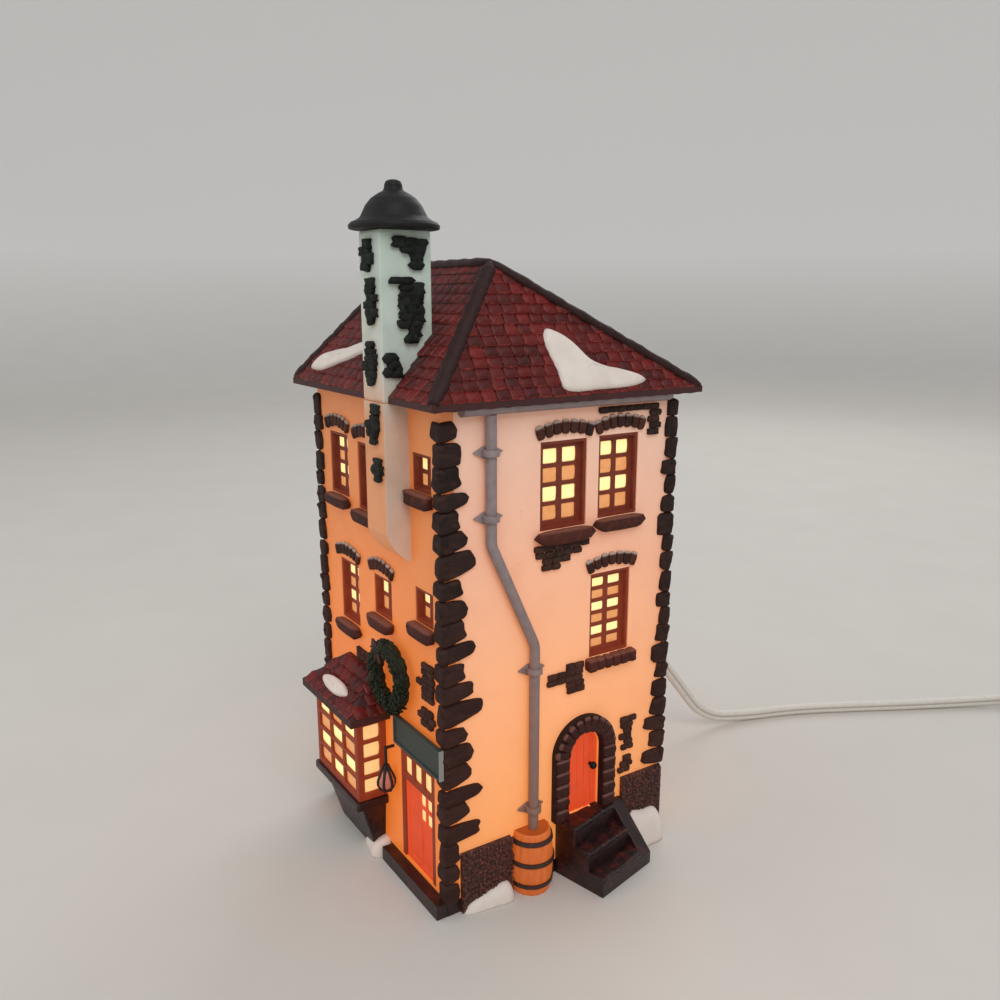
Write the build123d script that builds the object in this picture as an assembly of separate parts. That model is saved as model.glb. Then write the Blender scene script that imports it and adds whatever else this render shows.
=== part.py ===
from build123d import *
import math
import os

# A lit porcelain village house: a tall shop with a hipped tile roof, a chimney on its shop front,
# a bay window, a side door with steps, and a small lamp on a lead that clips into the back wall.
# Millimetres, +Z up. The shop front faces -Y, the side door wall faces +X, the lamp goes in at +Y.

# Shell of the house
HOUSE_WIDTH = 90.0
HOUSE_DEPTH = 89.0
WALL_TOP = 162.5
WALL = 4.0
BASE = 5.0
# Places along a wall are written for walls of these widths, and stretch with the house
DRAWN_WIDTH = 90.0
DRAWN_DEPTH = 89.0
VENT_RADIUS = 6.0
VENT_SHIFT = 22.0

# Hipped roof, with its ridge along X and nearer to the shop front
EAVE_OVERHANG = 5.7
EAVE_THICKNESS = 2.0
RIDGE_RISE = 38.5
RIDGE_LENGTH = 58.0
RIDGE_SHIFT = -17.5
RIDGE_FLAT = 1.0
ROOF_COURSES = 13
COURSE_LIP = 0.8
ROOF_CROWN = 9.0
CAP_RADIUS = 2.3

# Chimney: a breast on the shop front, a stack through the eave and a domed cap
CHIMNEY_X = 18.6
CHIMNEY_WIDTH = 13.6
CHIMNEY_DEPTH = 16.6
CHIMNEY_OUT = 8.0
BREAST_FOOT = 113.0
BREAST_CURVE = 9.5
STACK_TOP = 212.0
CAP_RIM_RADIUS = 13.4
CAP_RIM_HEIGHT = 2.2
CAP_DOME_RADIUS = 9.6
CAP_DOME_HEIGHT = 8.4
CAP_KNOB_RADIUS = 2.6
CAP_KNOB_HEIGHT = 3.6

# Windows: an opening through the wall, a casing in it, deep-set bars and a pane behind the bars.
# The rim beside the glass and the upright bar are shares of the window's width.
CASING_RECESS = 0.3
CASING = 1.0
WINDOW_RECESS = 2.3
BAR_DEPTH = 0.8
PANE = 0.9
RIM_SHARE = 0.145
UPRIGHT_SHARE = 0.11
WINDOW_BAR = 1.3
LINTEL_RISE = 1.8
LINTEL_HEIGHT = 4.4
LINTEL_OUT = 1.2
LINTEL_GAP = 0.4
LINTEL_SIDE = 1.4
SILL_HEIGHT = 4.0
SILL_OUT = 3.0
SILL_SIDE = 1.6
WINDOWS = [
    dict(wall="side", u=-0.9, sill=122.0, width=18.0, height=28.0, columns=2, rows=4, stones=7, sills=1),
    dict(wall="side", u=21.2, sill=123.2, width=16.4, height=27.0, columns=2, rows=4, stones=7, sills=1),
    dict(wall="side", u=19.2, sill=75.6, width=16.8, height=29.0, columns=2, rows=6, stones=7, sills=6),
    dict(wall="shop", u=-27.4, sill=125.0, width=15.0, height=22.0, columns=2, rows=4, stones=7, sills=1),
    dict(wall="shop", u=-5.0, sill=123.0, width=14.0, height=23.0, columns=2, rows=4, stones=7, sills=1),
    dict(wall="shop", u=33.0, sill=136.4, width=11.4, height=11.6, columns=2, rows=2, stones=0, sills=1),
    dict(wall="shop", u=-22.0, sill=79.0, width=15.0, height=22.6, columns=2, rows=4, stones=7, sills=1),
    dict(wall="shop", u=4.4, sill=88.6, width=13.0, height=14.0, columns=2, rows=2, stones=7, sills=1),
    dict(wall="shop", u=33.0, sill=94.6, width=11.4, height=11.4, columns=2, rows=2, stones=0, sills=1),
    dict(wall="far", u=-19.0, sill=122.0, width=16.0, height=27.0, columns=2, rows=4, stones=7, sills=1),
    dict(wall="far", u=19.0, sill=122.0, width=16.0, height=27.0, columns=2, rows=4, stones=7, sills=1),
    dict(wall="far", u=0.0, sill=72.0, width=16.0, height=27.0, columns=2, rows=4, stones=7, sills=1),
    dict(wall="back", u=-20.0, sill=122.0, width=16.0, height=27.0, columns=2, rows=4, stones=7, sills=1),
    dict(wall="back", u=20.0, sill=122.0, width=16.0, height=27.0, columns=2, rows=4, stones=7, sills=1),
]

# Corner stones, tongues in courses whose heights and lengths repeat up each corner. Their lengths
# shrink with the height, from a lower share to an upper share, by one share in each fade length.
QUOIN_OUT = 1.2
QUOIN_TIP = 0.45
QUOIN_RAISE = 0.12
QUOIN_NEAR_SHARES = (1.3, 0.65)
QUOIN_NEAR_FADE = 240.0
QUOIN_RIGHT_SHARES = (0.9, 0.42)
QUOIN_RIGHT_FADE = 90.0
QUOIN_GAP = 0.7
QUOIN_HEIGHTS = [6.4, 5.2, 7.2, 5.6, 6.0, 4.8, 6.8]
QUOIN_LONG = [8.4, 6.8, 12.6, 9.6, 6.6, 10.8, 7.6]
QUOIN_SHORT = [3.6, 4.4, 3.2, 4.0, 4.4, 3.4, 4.2]
QUOIN_PLINTH_LONG = 4.0

# Bare stones where the plaster has come off: the wall, the lowest row's height, and each row from
# there up as its middle and length. On the chimney the lowest row is given as a share of the way up.
BRICK_LENGTH = 3.3
BRICK_HEIGHT = 1.8
BRICK_GAP = 0.3
BRICK_OUT = 1.0
PATCHES = [
    ("side", 109.2, [(-5.6, 7.2), (-4.4, 10.8), (-2.6, 18.0), (-2.2, 21.6)]),
    ("side", 65.2, [(5.2, 7.2), (4.0, 7.2), (0.6, 14.4), (0.0, 14.4), (4.8, 7.2)]),
    ("side", 29.0, [(27.4, 5.4), (27.6, 5.4), (28.8, 3.6)]),
    ("side", 37.6, [(28.6, 5.4), (28.2, 3.6), (27.6, 5.4), (27.8, 3.6), (28.2, 5.4), (28.0, 7.2)]),
    ("side", 149.0, [(35.4, 4.8), (35.4, 4.8), (35.4, 4.8), (35.4, 4.8)]),
    ("side", 157.4, [(25.0, 25.2)]),
    ("shop", 67.6, [(-11.4, 10.8), (-10.4, 14.4)]),
    ("shop", 70.4, [(35.4, 7.2), (34.4, 7.2), (33.8, 10.8), (35.0, 7.2), (35.4, 7.2), (34.6, 7.2)]),
    ("shop", 61.4, [(34.6, 7.2), (33.4, 10.8), (34.8, 7.2)]),
    ("far", 40.0, [(8.0, 10.8), (8.0, 18.0), (9.0, 14.4)]),
    ("back", 62.0, [(-22.0, 10.8), (-22.0, 14.4), (-21.0, 10.8)]),
]
CHIMNEY_PATCHES = [
    ("stack_side", 0.782, [(3.2, 3.6), (2.6, 3.6), (2.4, 7.2), (0.4, 10.8)]),
    ("stack_side", 0.524, [(1.4, 7.2), (0.2, 7.2), (1.6, 7.2), (0.8, 7.2), (-1.6, 7.2)]),
    ("stack_side", 0.358, [(1.2, 3.6), (1.4, 3.6), (0.8, 7.2), (0.8, 7.2)]),
    ("stack_side", 0.164, [(-5.0, 5.4), (-5.6, 3.6), (-5.8, 3.6)]),
    ("stack_front", 0.774, [(-1.0, 3.6), (-0.6, 5.4), (-1.0, 5.4), (-0.8, 3.6)]),
    ("stack_front", 0.467, [(1.2, 3.6), (1.2, 5.4), (1.0, 5.4), (1.4, 5.4), (1.2, 3.6), (0.8, 3.6)]),
    ("stack_front", 0.111, [(0.0, 3.6), (-0.8, 5.4), (-0.4, 7.2), (0.0, 5.4), (0.2, 5.4), (-0.6, 3.6)]),
    ("breast", 0.93, [(2.4, 3.6)]),
    ("breast", 0.7, [(0.6, 3.6), (-0.6, 5.4), (0.2, 7.2), (1.0, 3.6)]),
    ("breast", 0.42, [(2.8, 3.6), (2.0, 5.4), (3.0, 3.6)]),
]

# Gutter, downspout with its brackets, and the rain barrel under it
GUTTER_RADIUS = 2.4
GUTTER_SKIN = 0.8
GUTTER_END_INSET = 5.0
GUTTER_OFF_WALL = 2.7
SPOUT_RADIUS = 1.7
SPOUT_OFF_WALL = 2.2
SPOUT_HIGH_Y = -29.2
SPOUT_LOW_Y = -13.0
SPOUT_BEND_HIGH = 121.0
SPOUT_BEND_LOW = 86.0
SPOUT_BEND_RADIUS = 7.0
COLLAR_HEIGHT = 2.0
BRACKET_HEIGHT = 3.6
BRACKET_SPAN = 10.4
BRACKET_PLATE = 0.9
BRACKET_LEVELS = [149.0, 129.4]
BRACKET_LOW_LEVELS = [77.6, 29.0]
BARREL_RADIUS = 7.4
BARREL_WAIST = 6.2
BARREL_HEIGHT = 22.0
BARREL_SETBACK = 1.0
HOOP_LEVELS = [3.0, 11.0, 18.4]
HOOP_HEIGHT = 1.5
HOOP_OUT = 0.5

# Side door, its arched surround, steps and rubble plinths
SIDE_DOOR_Y = 8.8
SIDE_DOOR_WIDTH = 14.4
SIDE_DOOR_SILL = 20.0
SIDE_DOOR_SPRING = 43.0
SIDE_DOOR_RECESS = 2.6
SIDE_DOOR_LEAF = 1.6
SIDE_DOOR_PLANKS = 5
PLANK_GROOVE = 0.5
KNOB_RADIUS = 1.3
KNOB_HEIGHT = 36.0
KNOB_INSET = 3.0
SURROUND_BAND = 5.6
SURROUND_OUT = 2.4
STEP_COUNT = 3
STEP_DEPTH = 6.1
STEP_TURN = 13.0
STEP_LEFT = 10.8
STEP_RIGHT = 16.4
CHEEK_WIDTH = 5.2
CHEEK_FLAT = 5.0
CHEEK_LOW = 4.5
PLINTH_OUT = 1.6
PLINTH_LEFT_TOP = 21.0
PLINTH_LEFT_END = -21.0
PLINTH_RIGHT_TOP = 27.0
PLINTH_CHAMFER = 1.0
PLINTH_GAP = 0.2

# Shop front: bay window, door, sign board, wreath and wall lantern
BAY_X = -14.2
BAY_WIDTH = 35.6
BAY_OUT = 11.0
BAY_SILL = 23.0
BAY_SILL_SLAB = 3.0
BAY_HEAD = 53.0
BAY_POST = 2.4
BAY_BAR = 1.2
BAY_COLUMNS = 3
BAY_ROWS = 4
BAY_BASE_INSET = 1.4
BAY_FOOT_INSET = 3.0
BAY_FOOT_OUT = 3.6
BAY_SLAB_LIP = 1.2
BAY_EAVE_LIP = 2.8
BAY_EAVE = 2.6
BAY_ROOF_RISE = 11.0
BAY_ROOF_TOP_WIDTH = 20.0
BAY_ROOF_COURSES = 4
SHOP_DOOR_X = 26.0
SHOP_DOOR_WIDTH = 23.0
SHOP_DOOR_SILL = 6.0
SHOP_DOOR_TOP = 46.5
SHOP_DOOR_RECESS = 3.0
SHOP_DOOR_JAMB = 2.2
TRANSOM_SILL = 37.4
TRANSOM_RAIL = 1.8
TRANSOM_PANES = 3
SHOP_LEAF = 1.5
SHOP_LEAF_STILE = 1.0
SHOP_LEAF_RAIL = 1.7
SHOP_LIGHT_SHARE = 0.56
SHOP_LIGHT_SILL = 25.0
SHOP_STEP_OUT = 4.0
SHOP_STEP_LEFT = 6.0
SIGN_X = 30.6
SIGN_WIDTH = 31.0
SIGN_Z = 53.8
SIGN_HEIGHT = 10.0
SIGN_THICKNESS = 1.6
SIGN_RIM = 0.9
SIGN_STUD_RADIUS = 1.2
SIGN_OFF_WALL = 1.4
WREATH_X = 13.9
WREATH_Z = 71.7
WREATH_RADIUS = 9.4
WREATH_TUBE = 3.3
LANTERN_X = 9.4
LANTERN_LOW = 28.2
LANTERN_RADIUS = 2.7
LANTERN_HEIGHT = 9.6
LANTERN_STEM = 6.8
LANTERN_STEM_RADIUS = 0.55
LANTERN_OUT = 3.2

# Snow: lobes on the roof slopes and on the bay, and drifts on the ground
SNOW_THICKNESS = 1.7
SIDE_ROOF_SNOW = [
    (-5.4, 21.5),
    (0.4, 18.4),
    (6.3, 11.2),
    (14.0, 7.4),
    (22.6, 5.4),
    (27.0, 3.0),
    (21.0, 1.2),
    (8.0, 0.8),
    (-4.6, 1.2),
    (-6.0, 8.0),
    (-7.6, 17.0),
]
FRONT_ROOF_SNOW = [
    (-32.0, 4.2),
    (-24.0, 7.0),
    (-14.0, 11.0),
    (-6.0, 15.0),
    (-9.0, 18.0),
    (-20.0, 14.5),
    (-30.0, 12.5),
    (-39.0, 9.5),
    (-41.0, 4.8),
]
BAY_SNOW_WIDTH = 20.0
BAY_SNOW_HEIGHT = 5.0
# Each drift: where it starts and ends along its wall, its greatest reach and height, and the shares
# of these at its two ends
DRIFT_LEFT = dict(wall="side", u0=-39.6, u1=-21.0, out=4.4, height=7.4, shares=(0.35, 1.0))
DRIFT_RIGHT = dict(wall="side", u0=26.4, u1=44.2, out=6.0, height=14.0, shares=(1.0, 0.85))
DRIFT_SHOP = dict(wall="shop", u0=-9.0, u1=5.6, out=7.5, height=7.0, shares=(0.6, 1.0))

# Lamp: a holder with a flange that clips into a round hole in the back wall, and a screw-in bulb
LAMP_X = -4.0
LAMP_Z = 46.0
LAMP_HOLE_RADIUS = 15.0
FLANGE_RADIUS = 18.0
FLANGE_THICKNESS = 2.6
FLANGE_SEAT = 0.2
HOLDER_RADIUS = 10.4
HOLDER_REACH = 20.0
TAPER_LENGTH = 20.0
TAPER_ROOT_RADIUS = 8.0
TAPER_TIP_RADIUS = 3.6
BULB_BASE_RADIUS = 5.95
BULB_FIT = 0.05
BULB_BASE_LENGTH = 15.0
BULB_BASE_END_GAP = 0.3
BULB_NECK_RADIUS = 5.6
BULB_RADIUS = 10.6
BULB_LENGTH = 38.0
BULB_TIP_RADIUS = 1.0
CLIP_STRIP = 0.6
CLIP_BAND = 5.0
CLIP_ARM_WIDTH = 6.0
CLIP_ARM_GAP = 0.3
CLIP_BAND_END = 7.0

# Lead: a flat twin lead taken as a round tube of its width
CORD = 5.0
CORD_POINTS = [
    (LAMP_X, 85.0, LAMP_Z),
    (-4.5, 102.0, 26.0),
    (-3.0, 117.5, 6.0),
    (2.0, 139.0, 2.5),
    (10.0, 163.0, 2.5),
    (22.5, 187.0, 2.5),
    (36.5, 212.0, 2.5),
    (51.0, 239.0, 2.8),
]
CORD_ARC_SHARE = 0.45
CORD_LAST_RUN = 24.0

# Coil of the length that is put away, tied, with an in-line switch and a two-blade plug
COIL_X = 112.0
COIL_Y = 266.0
COIL_INNER_RADIUS = 16.6
COIL_TURNS = 4
COIL_PITCH = 5.7
COIL_LIFT = 1.4
COIL_ENTRY_ANGLE = 151.0
COIL_EXIT_ANGLE = 0.0
TIE_STRIP = 0.8
TIE_WIDTH = 6.0
TIE_CLEARANCE = 0.5
TIE_ANGLE = 90.0
COIL_TAIL = 28.0
PLUG_TAIL = 14.0
SWITCH_LENGTH = 42.0
SWITCH_WIDTH = 19.0
SWITCH_ROUND = 5.0
WHEEL_RADIUS = 7.0
WHEEL_THICKNESS = 4.4
WHEEL_PROUD = 1.8
WHEEL_CLEARANCE = 0.35
WHEEL_PIN_RADIUS = 1.5
WHEEL_PIN_FIT = 0.05
WHEEL_TEETH = 20
WHEEL_TOOTH = 0.5
PLUG_LENGTH = 26.0
PLUG_WIDTH = 22.0
PLUG_ROUND = 4.0
BLADE_SPACING = 12.7
BLADE_WIDTH = 6.3
BLADE_THICKNESS = 1.5
BLADE_LENGTH = 16.0
BLADE_ROOT = 6.0

half_width = HOUSE_WIDTH / 2
half_depth = HOUSE_DEPTH / 2
eave_top = WALL_TOP + EAVE_THICKNESS
ridge_top = eave_top + RIDGE_RISE

# Each wall has its own plane: u runs along the wall, v is the height, w points out of the wall
WALL_PLANES = {
    "shop": Plane(origin=(0, -half_depth, 0), x_dir=(1, 0, 0), z_dir=(0, -1, 0)),
    "side": Plane(origin=(half_width, 0, 0), x_dir=(0, 1, 0), z_dir=(1, 0, 0)),
    "back": Plane(origin=(0, half_depth, 0), x_dir=(-1, 0, 0), z_dir=(0, 1, 0)),
    "far": Plane(origin=(-half_width, 0, 0), x_dir=(0, -1, 0), z_dir=(-1, 0, 0)),
    "breast": Plane(origin=(CHIMNEY_X, -half_depth - CHIMNEY_OUT, 0), x_dir=(1, 0, 0), z_dir=(0, -1, 0)),
    "stack_front": Plane(origin=(CHIMNEY_X, -half_depth - CHIMNEY_OUT, 0), x_dir=(1, 0, 0), z_dir=(0, -1, 0)),
    "stack_side": Plane(
        origin=(CHIMNEY_X + CHIMNEY_WIDTH / 2, -half_depth - CHIMNEY_OUT + CHIMNEY_DEPTH / 2, 0),
        x_dir=(0, 1, 0),
        z_dir=(1, 0, 0),
    ),
}
WIDTH_STRETCH = HOUSE_WIDTH / DRAWN_WIDTH
DEPTH_STRETCH = HOUSE_DEPTH / DRAWN_DEPTH
WALL_STRETCH = {
    "shop": WIDTH_STRETCH,
    "back": WIDTH_STRETCH,
    "side": DEPTH_STRETCH,
    "far": DEPTH_STRETCH,
}
spout_high_y = SPOUT_HIGH_Y * DEPTH_STRETCH
spout_low_y = SPOUT_LOW_Y * DEPTH_STRETCH
side_door_y = SIDE_DOOR_Y * DEPTH_STRETCH
nodes = {}


def block(x0, x1, y0, y1, z0, z1):
    """A box between two corners."""
    return Pos((x0 + x1) / 2, (y0 + y1) / 2, (z0 + z1) / 2) * Box(x1 - x0, y1 - y0, z1 - z0)


def on_wall(wall, u0, u1, v0, v1, w0, w1):
    """A box on a wall, from its run along the wall, its heights and its depths out of the wall."""
    return WALL_PLANES[wall].location * block(u0, u1, v0, v1, w0, w1)


def group(*shapes):
    """Separate solids that share a node."""
    return Compound(children=[solid for shape in shapes for solid in shape.solids()])


def ruled_block(low, high):
    """A solid between two rectangles, each given as (x0, x1, y0, y1, z)."""
    corners = []
    for x0, x1, y0, y1, z in (low, high):
        corners.append([(x0, y0, z), (x1, y0, z), (x1, y1, z), (x0, y1, z)])
    bottom, top = corners
    faces = [Face(Wire.make_polygon(bottom)), Face(Wire.make_polygon(top))]
    for i in range(4):
        j = (i + 1) % 4
        faces.append(Face(Wire.make_polygon([bottom[i], bottom[j], top[j], top[i]])))
    return Solid(Shell(faces))


def between(a, b, share):
    return a + (b - a) * share


def arch(width, sill, spring):
    """A door outline: straight sides up to the spring line and a round head."""
    half = width / 2
    outline = Polyline((-half, spring), (-half, sill), (half, sill), (half, spring))
    head = ThreePointArc((half, spring), (0, spring + half), (-half, spring))
    return make_face([outline, head])


# Roof: stepped tile courses over a fascia, hollow inside, with round caps on the hips and ridge
def roof_rectangle(share, lip):
    """The roof's outline at a share of its rise, widened by a lip."""
    x = between(half_width + EAVE_OVERHANG, RIDGE_LENGTH / 2, share) + lip
    front = between(-half_depth - EAVE_OVERHANG, RIDGE_SHIFT - RIDGE_FLAT / 2, share) - lip
    rear = between(half_depth + EAVE_OVERHANG, RIDGE_SHIFT + RIDGE_FLAT / 2, share) + lip
    return (-x, x, front, rear, eave_top + RIDGE_RISE * share)


def roof_body():
    x0, x1, y0, y1, z = roof_rectangle(0, COURSE_LIP)
    body = block(x0, x1, y0, y1, WALL_TOP, z)
    courses = []
    for i in range(ROOF_COURSES):
        low = roof_rectangle(i / ROOF_COURSES, COURSE_LIP)
        high = roof_rectangle((i + 1) / ROOF_COURSES, 0)
        courses.append(ruled_block(low, high))
    return body.fuse(*courses)


def roof_cavity():
    inner_x = half_width - WALL
    inner_y = half_depth - WALL
    top_x = RIDGE_LENGTH / 2 - ROOF_CROWN / 3
    low = (-inner_x, inner_x, -inner_y, inner_y, WALL_TOP)
    high = (-top_x, top_x, RIDGE_SHIFT - RIDGE_FLAT, RIDGE_SHIFT + RIDGE_FLAT, ridge_top - ROOF_CROWN)
    return ruled_block(low, high)


def rod(start, end, radius):
    """A round rod between two points."""
    line = Line(start, end)
    return sweep(Plane(origin=line @ 0, z_dir=line % 0) * Circle(radius), path=line)


def cap_rods():
    x0, x1, y0, y1, z = roof_rectangle(0, 0)
    ridge = [(-RIDGE_LENGTH / 2, RIDGE_SHIFT, ridge_top), (RIDGE_LENGTH / 2, RIDGE_SHIFT, ridge_top)]
    eaves = [(x0, y0, z), (x1, y0, z), (x1, y1, z), (x0, y1, z)]
    rods = [rod(ridge[0], ridge[1], CAP_RADIUS)]
    for corner, top in zip(eaves, (ridge[0], ridge[1], ridge[1], ridge[0])):
        rods.append(rod(corner, top, CAP_RADIUS))
    balls = [Pos(*end) * Sphere(CAP_RADIUS) for end in ridge]
    return rods[0].fuse(*rods[1:], *balls)


stack_x0 = CHIMNEY_X - CHIMNEY_WIDTH / 2
stack_x1 = CHIMNEY_X + CHIMNEY_WIDTH / 2
stack_y0 = -half_depth - CHIMNEY_OUT
stack_y1 = stack_y0 + CHIMNEY_DEPTH
stack = block(stack_x0, stack_x1, stack_y0, stack_y1, WALL_TOP, STACK_TOP)
full_roof = roof_body()
nodes["roof_shell"] = full_roof - roof_cavity() - stack
# The rods' ends leave two specks under the eave, so only the largest solid is kept
nodes["hip_and_ridge_caps"] = (cap_rods() - full_roof).solids().sort_by(SortBy.VOLUME)[-1]
nodes["chimney_stack"] = stack


def chimney_breast():
    """The breast runs from a curved foot up to the eave."""
    foot = BREAST_FOOT
    turn = foot + BREAST_CURVE
    outline = Polyline((0, foot), (0, WALL_TOP), (CHIMNEY_OUT, WALL_TOP), (CHIMNEY_OUT, turn))
    curve = RadiusArc((CHIMNEY_OUT, turn), (0, foot), BREAST_CURVE + CHIMNEY_OUT)
    profile = Plane(origin=(stack_x0, -half_depth, 0), x_dir=(0, -1, 0), z_dir=(-1, 0, 0))
    return extrude(profile * make_face([outline, curve]), -CHIMNEY_WIDTH)


def chimney_cap():
    """A flared rim, a dome and a knob, turned about the middle of the stack."""
    rim_top = CAP_RIM_HEIGHT
    dome_top = rim_top + CAP_DOME_HEIGHT
    top = dome_top + CAP_KNOB_HEIGHT
    rim = CAP_RIM_RADIUS
    axis_side = Polyline((CAP_KNOB_RADIUS, top), (0, top), (0, 0), (rim, 0), (rim, rim_top))
    flare = Line((rim, rim_top), (CAP_DOME_RADIUS, rim_top))
    dome = RadiusArc((CAP_DOME_RADIUS, rim_top), (CAP_KNOB_RADIUS, dome_top), -CAP_DOME_RADIUS)
    neck = Line((CAP_KNOB_RADIUS, dome_top), (CAP_KNOB_RADIUS, top))
    turned = revolve(Plane.XZ * make_face([axis_side, flare, dome, neck]), Axis.Z)
    return Pos(CHIMNEY_X, (stack_y0 + stack_y1) / 2, STACK_TOP) * turned


nodes["chimney_breast"] = chimney_breast()
nodes["chimney_cap"] = chimney_cap()


# Brick patches
def brick_rows(wall, lowest, rows):
    """Rows of bricks laid up from the lowest row, each row with as many bricks as fit its length."""
    bricks = []
    pitch = BRICK_LENGTH + BRICK_GAP
    stretch = WALL_STRETCH.get(wall, 1.0)
    for row, (drawn_middle, drawn_length) in enumerate(rows):
        middle = drawn_middle * stretch
        length = drawn_length * stretch
        count = max(1, round(length / pitch))
        brick = length / count - BRICK_GAP
        start = middle - length / 2 + (pitch / 4 if row % 2 else 0)
        v0 = lowest + row * (BRICK_HEIGHT + BRICK_GAP)
        for i in range(count):
            u0 = start + i * (brick + BRICK_GAP)
            bricks.append(on_wall(wall, u0, u0 + brick, v0, v0 + BRICK_HEIGHT, 0, BRICK_OUT))
    return bricks


nodes["wall_stone_patches"] = group(*[b for patch in PATCHES for b in brick_rows(*patch)])


def chimney_patch(face, share, rows):
    """Bricks at a share of the way up the breast, above its curved foot, or up the stack."""
    low, high = WALL_TOP, STACK_TOP
    if face == "breast":
        low, high = BREAST_FOOT + BREAST_CURVE, WALL_TOP
    return brick_rows(face, between(low, high, share), rows)


nodes["chimney_stone_patches"] = group(*[b for patch in CHIMNEY_PATCHES for b in chimney_patch(*patch)])


# Windows
def pane_grid(u0, u1, v0, v1, columns, rows, upright, bar):
    """The clear rectangles of a barred window, from the widths of its upright and its cross bars."""
    cells = []
    width = (u1 - u0 - (columns - 1) * upright) / columns
    height = (v1 - v0 - (rows - 1) * bar) / rows
    for i in range(columns):
        for j in range(rows):
            a = u0 + i * (width + upright)
            b = v0 + j * (height + bar)
            cells.append((a, a + width, b, b + height))
    return cells


def window_opening(wall, u, sill, width, height, columns, rows, stones, sills):
    return on_wall(wall, u - width / 2, u + width / 2, sill, sill + height, -WALL, 0)


def window_frame(wall, u, sill, width, height, columns, rows, stones, sills):
    """A casing round a deep well, with the bars at the bottom of the well."""
    face = -WINDOW_RECESS
    back = face - BAR_DEPTH
    u0 = u - width / 2
    u1 = u + width / 2
    v1 = sill + height
    rim = RIM_SHARE * width
    slab = on_wall(wall, u0, u1, sill, v1, back, -CASING_RECESS)
    well = on_wall(wall, u0 + CASING, u1 - CASING, sill + CASING, v1 - CASING, face, 0)
    inner = (u0 + rim, u1 - rim, sill + rim, v1 - rim)
    cells = pane_grid(*inner, columns, rows, UPRIGHT_SHARE * width, WINDOW_BAR)
    return slab.cut(well, *[on_wall(wall, *cell, back, face) for cell in cells])


def window_pane(wall, u, sill, width, height, columns, rows, stones, sills):
    front = -WINDOW_RECESS - BAR_DEPTH
    return on_wall(wall, u - width / 2, u + width / 2, sill, sill + height, front - PANE, front)


def window_lintel(wall, u, sill, width, height, columns, rows, stones, sills):
    """A flat arch of stones: an arc over the window's head, with the stones set square to it."""
    span = width + 2 * LINTEL_SIDE
    radius = span ** 2 / (8 * LINTEL_RISE) + LINTEL_RISE / 2
    centre = sill + height + LINTEL_RISE - radius + LINTEL_GAP
    half_angle = math.degrees(math.asin(span / 2 / radius))
    step = 2 * half_angle / stones if stones else 0
    stone = math.radians(step) * radius - LINTEL_GAP
    row = []
    for i in range(stones):
        turn = half_angle - (i + 0.5) * step
        place = Pos(u, centre, 0) * Rot(0, 0, turn) * Pos(0, radius + LINTEL_HEIGHT / 2, LINTEL_OUT / 2)
        row.append(WALL_PLANES[wall].location * place * Box(stone, LINTEL_HEIGHT, LINTEL_OUT))
    return row


def window_sill(wall, u, sill, width, height, columns, rows, stones, sills):
    """One slab, or a row of stones."""
    u0 = u - width / 2 - SILL_SIDE
    pitch = (width + 2 * SILL_SIDE + LINTEL_GAP) / sills
    row = []
    for i in range(sills):
        a = u0 + i * pitch
        row.append(on_wall(wall, a, a + pitch - LINTEL_GAP, sill - SILL_HEIGHT, sill, 0, SILL_OUT))
    return row


def fitted(window):
    """The window with its place and width stretched with its wall."""
    stretch = WALL_STRETCH[window["wall"]]
    return dict(window, u=window["u"] * stretch, width=window["width"] * stretch)


def windows_on(*walls):
    return [w for w in windows if w["wall"] in walls]


windows = [fitted(w) for w in WINDOWS]


nodes["side_window_frames"] = group(*[window_frame(**w) for w in windows_on("side")])
nodes["side_window_panes"] = group(*[window_pane(**w) for w in windows_on("side")])
nodes["shop_window_frames"] = group(*[window_frame(**w) for w in windows_on("shop")])
nodes["shop_window_panes"] = group(*[window_pane(**w) for w in windows_on("shop")])
nodes["rear_window_frames"] = group(*[window_frame(**w) for w in windows_on("far", "back")])
nodes["rear_window_panes"] = group(*[window_pane(**w) for w in windows_on("far", "back")])
nodes["window_lintels"] = group(*[stone for w in windows for stone in window_lintel(**w)])
nodes["window_sills"] = group(*[stone for w in windows for stone in window_sill(**w)])


# Walls, with their window openings, door recesses and the lamp's hole
def cut_wall(solid, wall, *more):
    return solid.cut(*[window_opening(**w) for w in windows_on(wall)], *more)


side_recess = WALL_PLANES["side"].location * Pos(side_door_y, 0, -SIDE_DOOR_RECESS) * extrude(
    arch(SIDE_DOOR_WIDTH, SIDE_DOOR_SILL, SIDE_DOOR_SPRING), SIDE_DOOR_RECESS
)
shop_recess = on_wall(
    "shop",
    SHOP_DOOR_X - SHOP_DOOR_WIDTH / 2,
    SHOP_DOOR_X + SHOP_DOOR_WIDTH / 2,
    SHOP_DOOR_SILL,
    SHOP_DOOR_TOP,
    -SHOP_DOOR_RECESS,
    0,
)
lamp_axis = Plane(origin=(LAMP_X, half_depth, LAMP_Z), x_dir=(1, 0, 0), z_dir=(0, 1, 0))
lamp_hole = lamp_axis.location * Pos(0, 0, -WALL / 2) * Cylinder(LAMP_HOLE_RADIUS, WALL)
inner_depth = half_depth - WALL
inner_width = half_width - WALL
shop_slab = block(-half_width, half_width, -half_depth, -inner_depth, BASE, WALL_TOP)
back_slab = block(-half_width, half_width, inner_depth, half_depth, BASE, WALL_TOP)
side_slab = block(inner_width, half_width, -inner_depth, inner_depth, BASE, WALL_TOP)
far_slab = block(-half_width, -inner_width, -inner_depth, inner_depth, BASE, WALL_TOP)
nodes["shop_front_wall"] = cut_wall(shop_slab, "shop", shop_recess)
nodes["side_door_wall"] = cut_wall(side_slab, "side", side_recess)
nodes["back_wall"] = cut_wall(back_slab, "back", lamp_hole)
nodes["far_side_wall"] = cut_wall(far_slab, "far")
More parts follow.
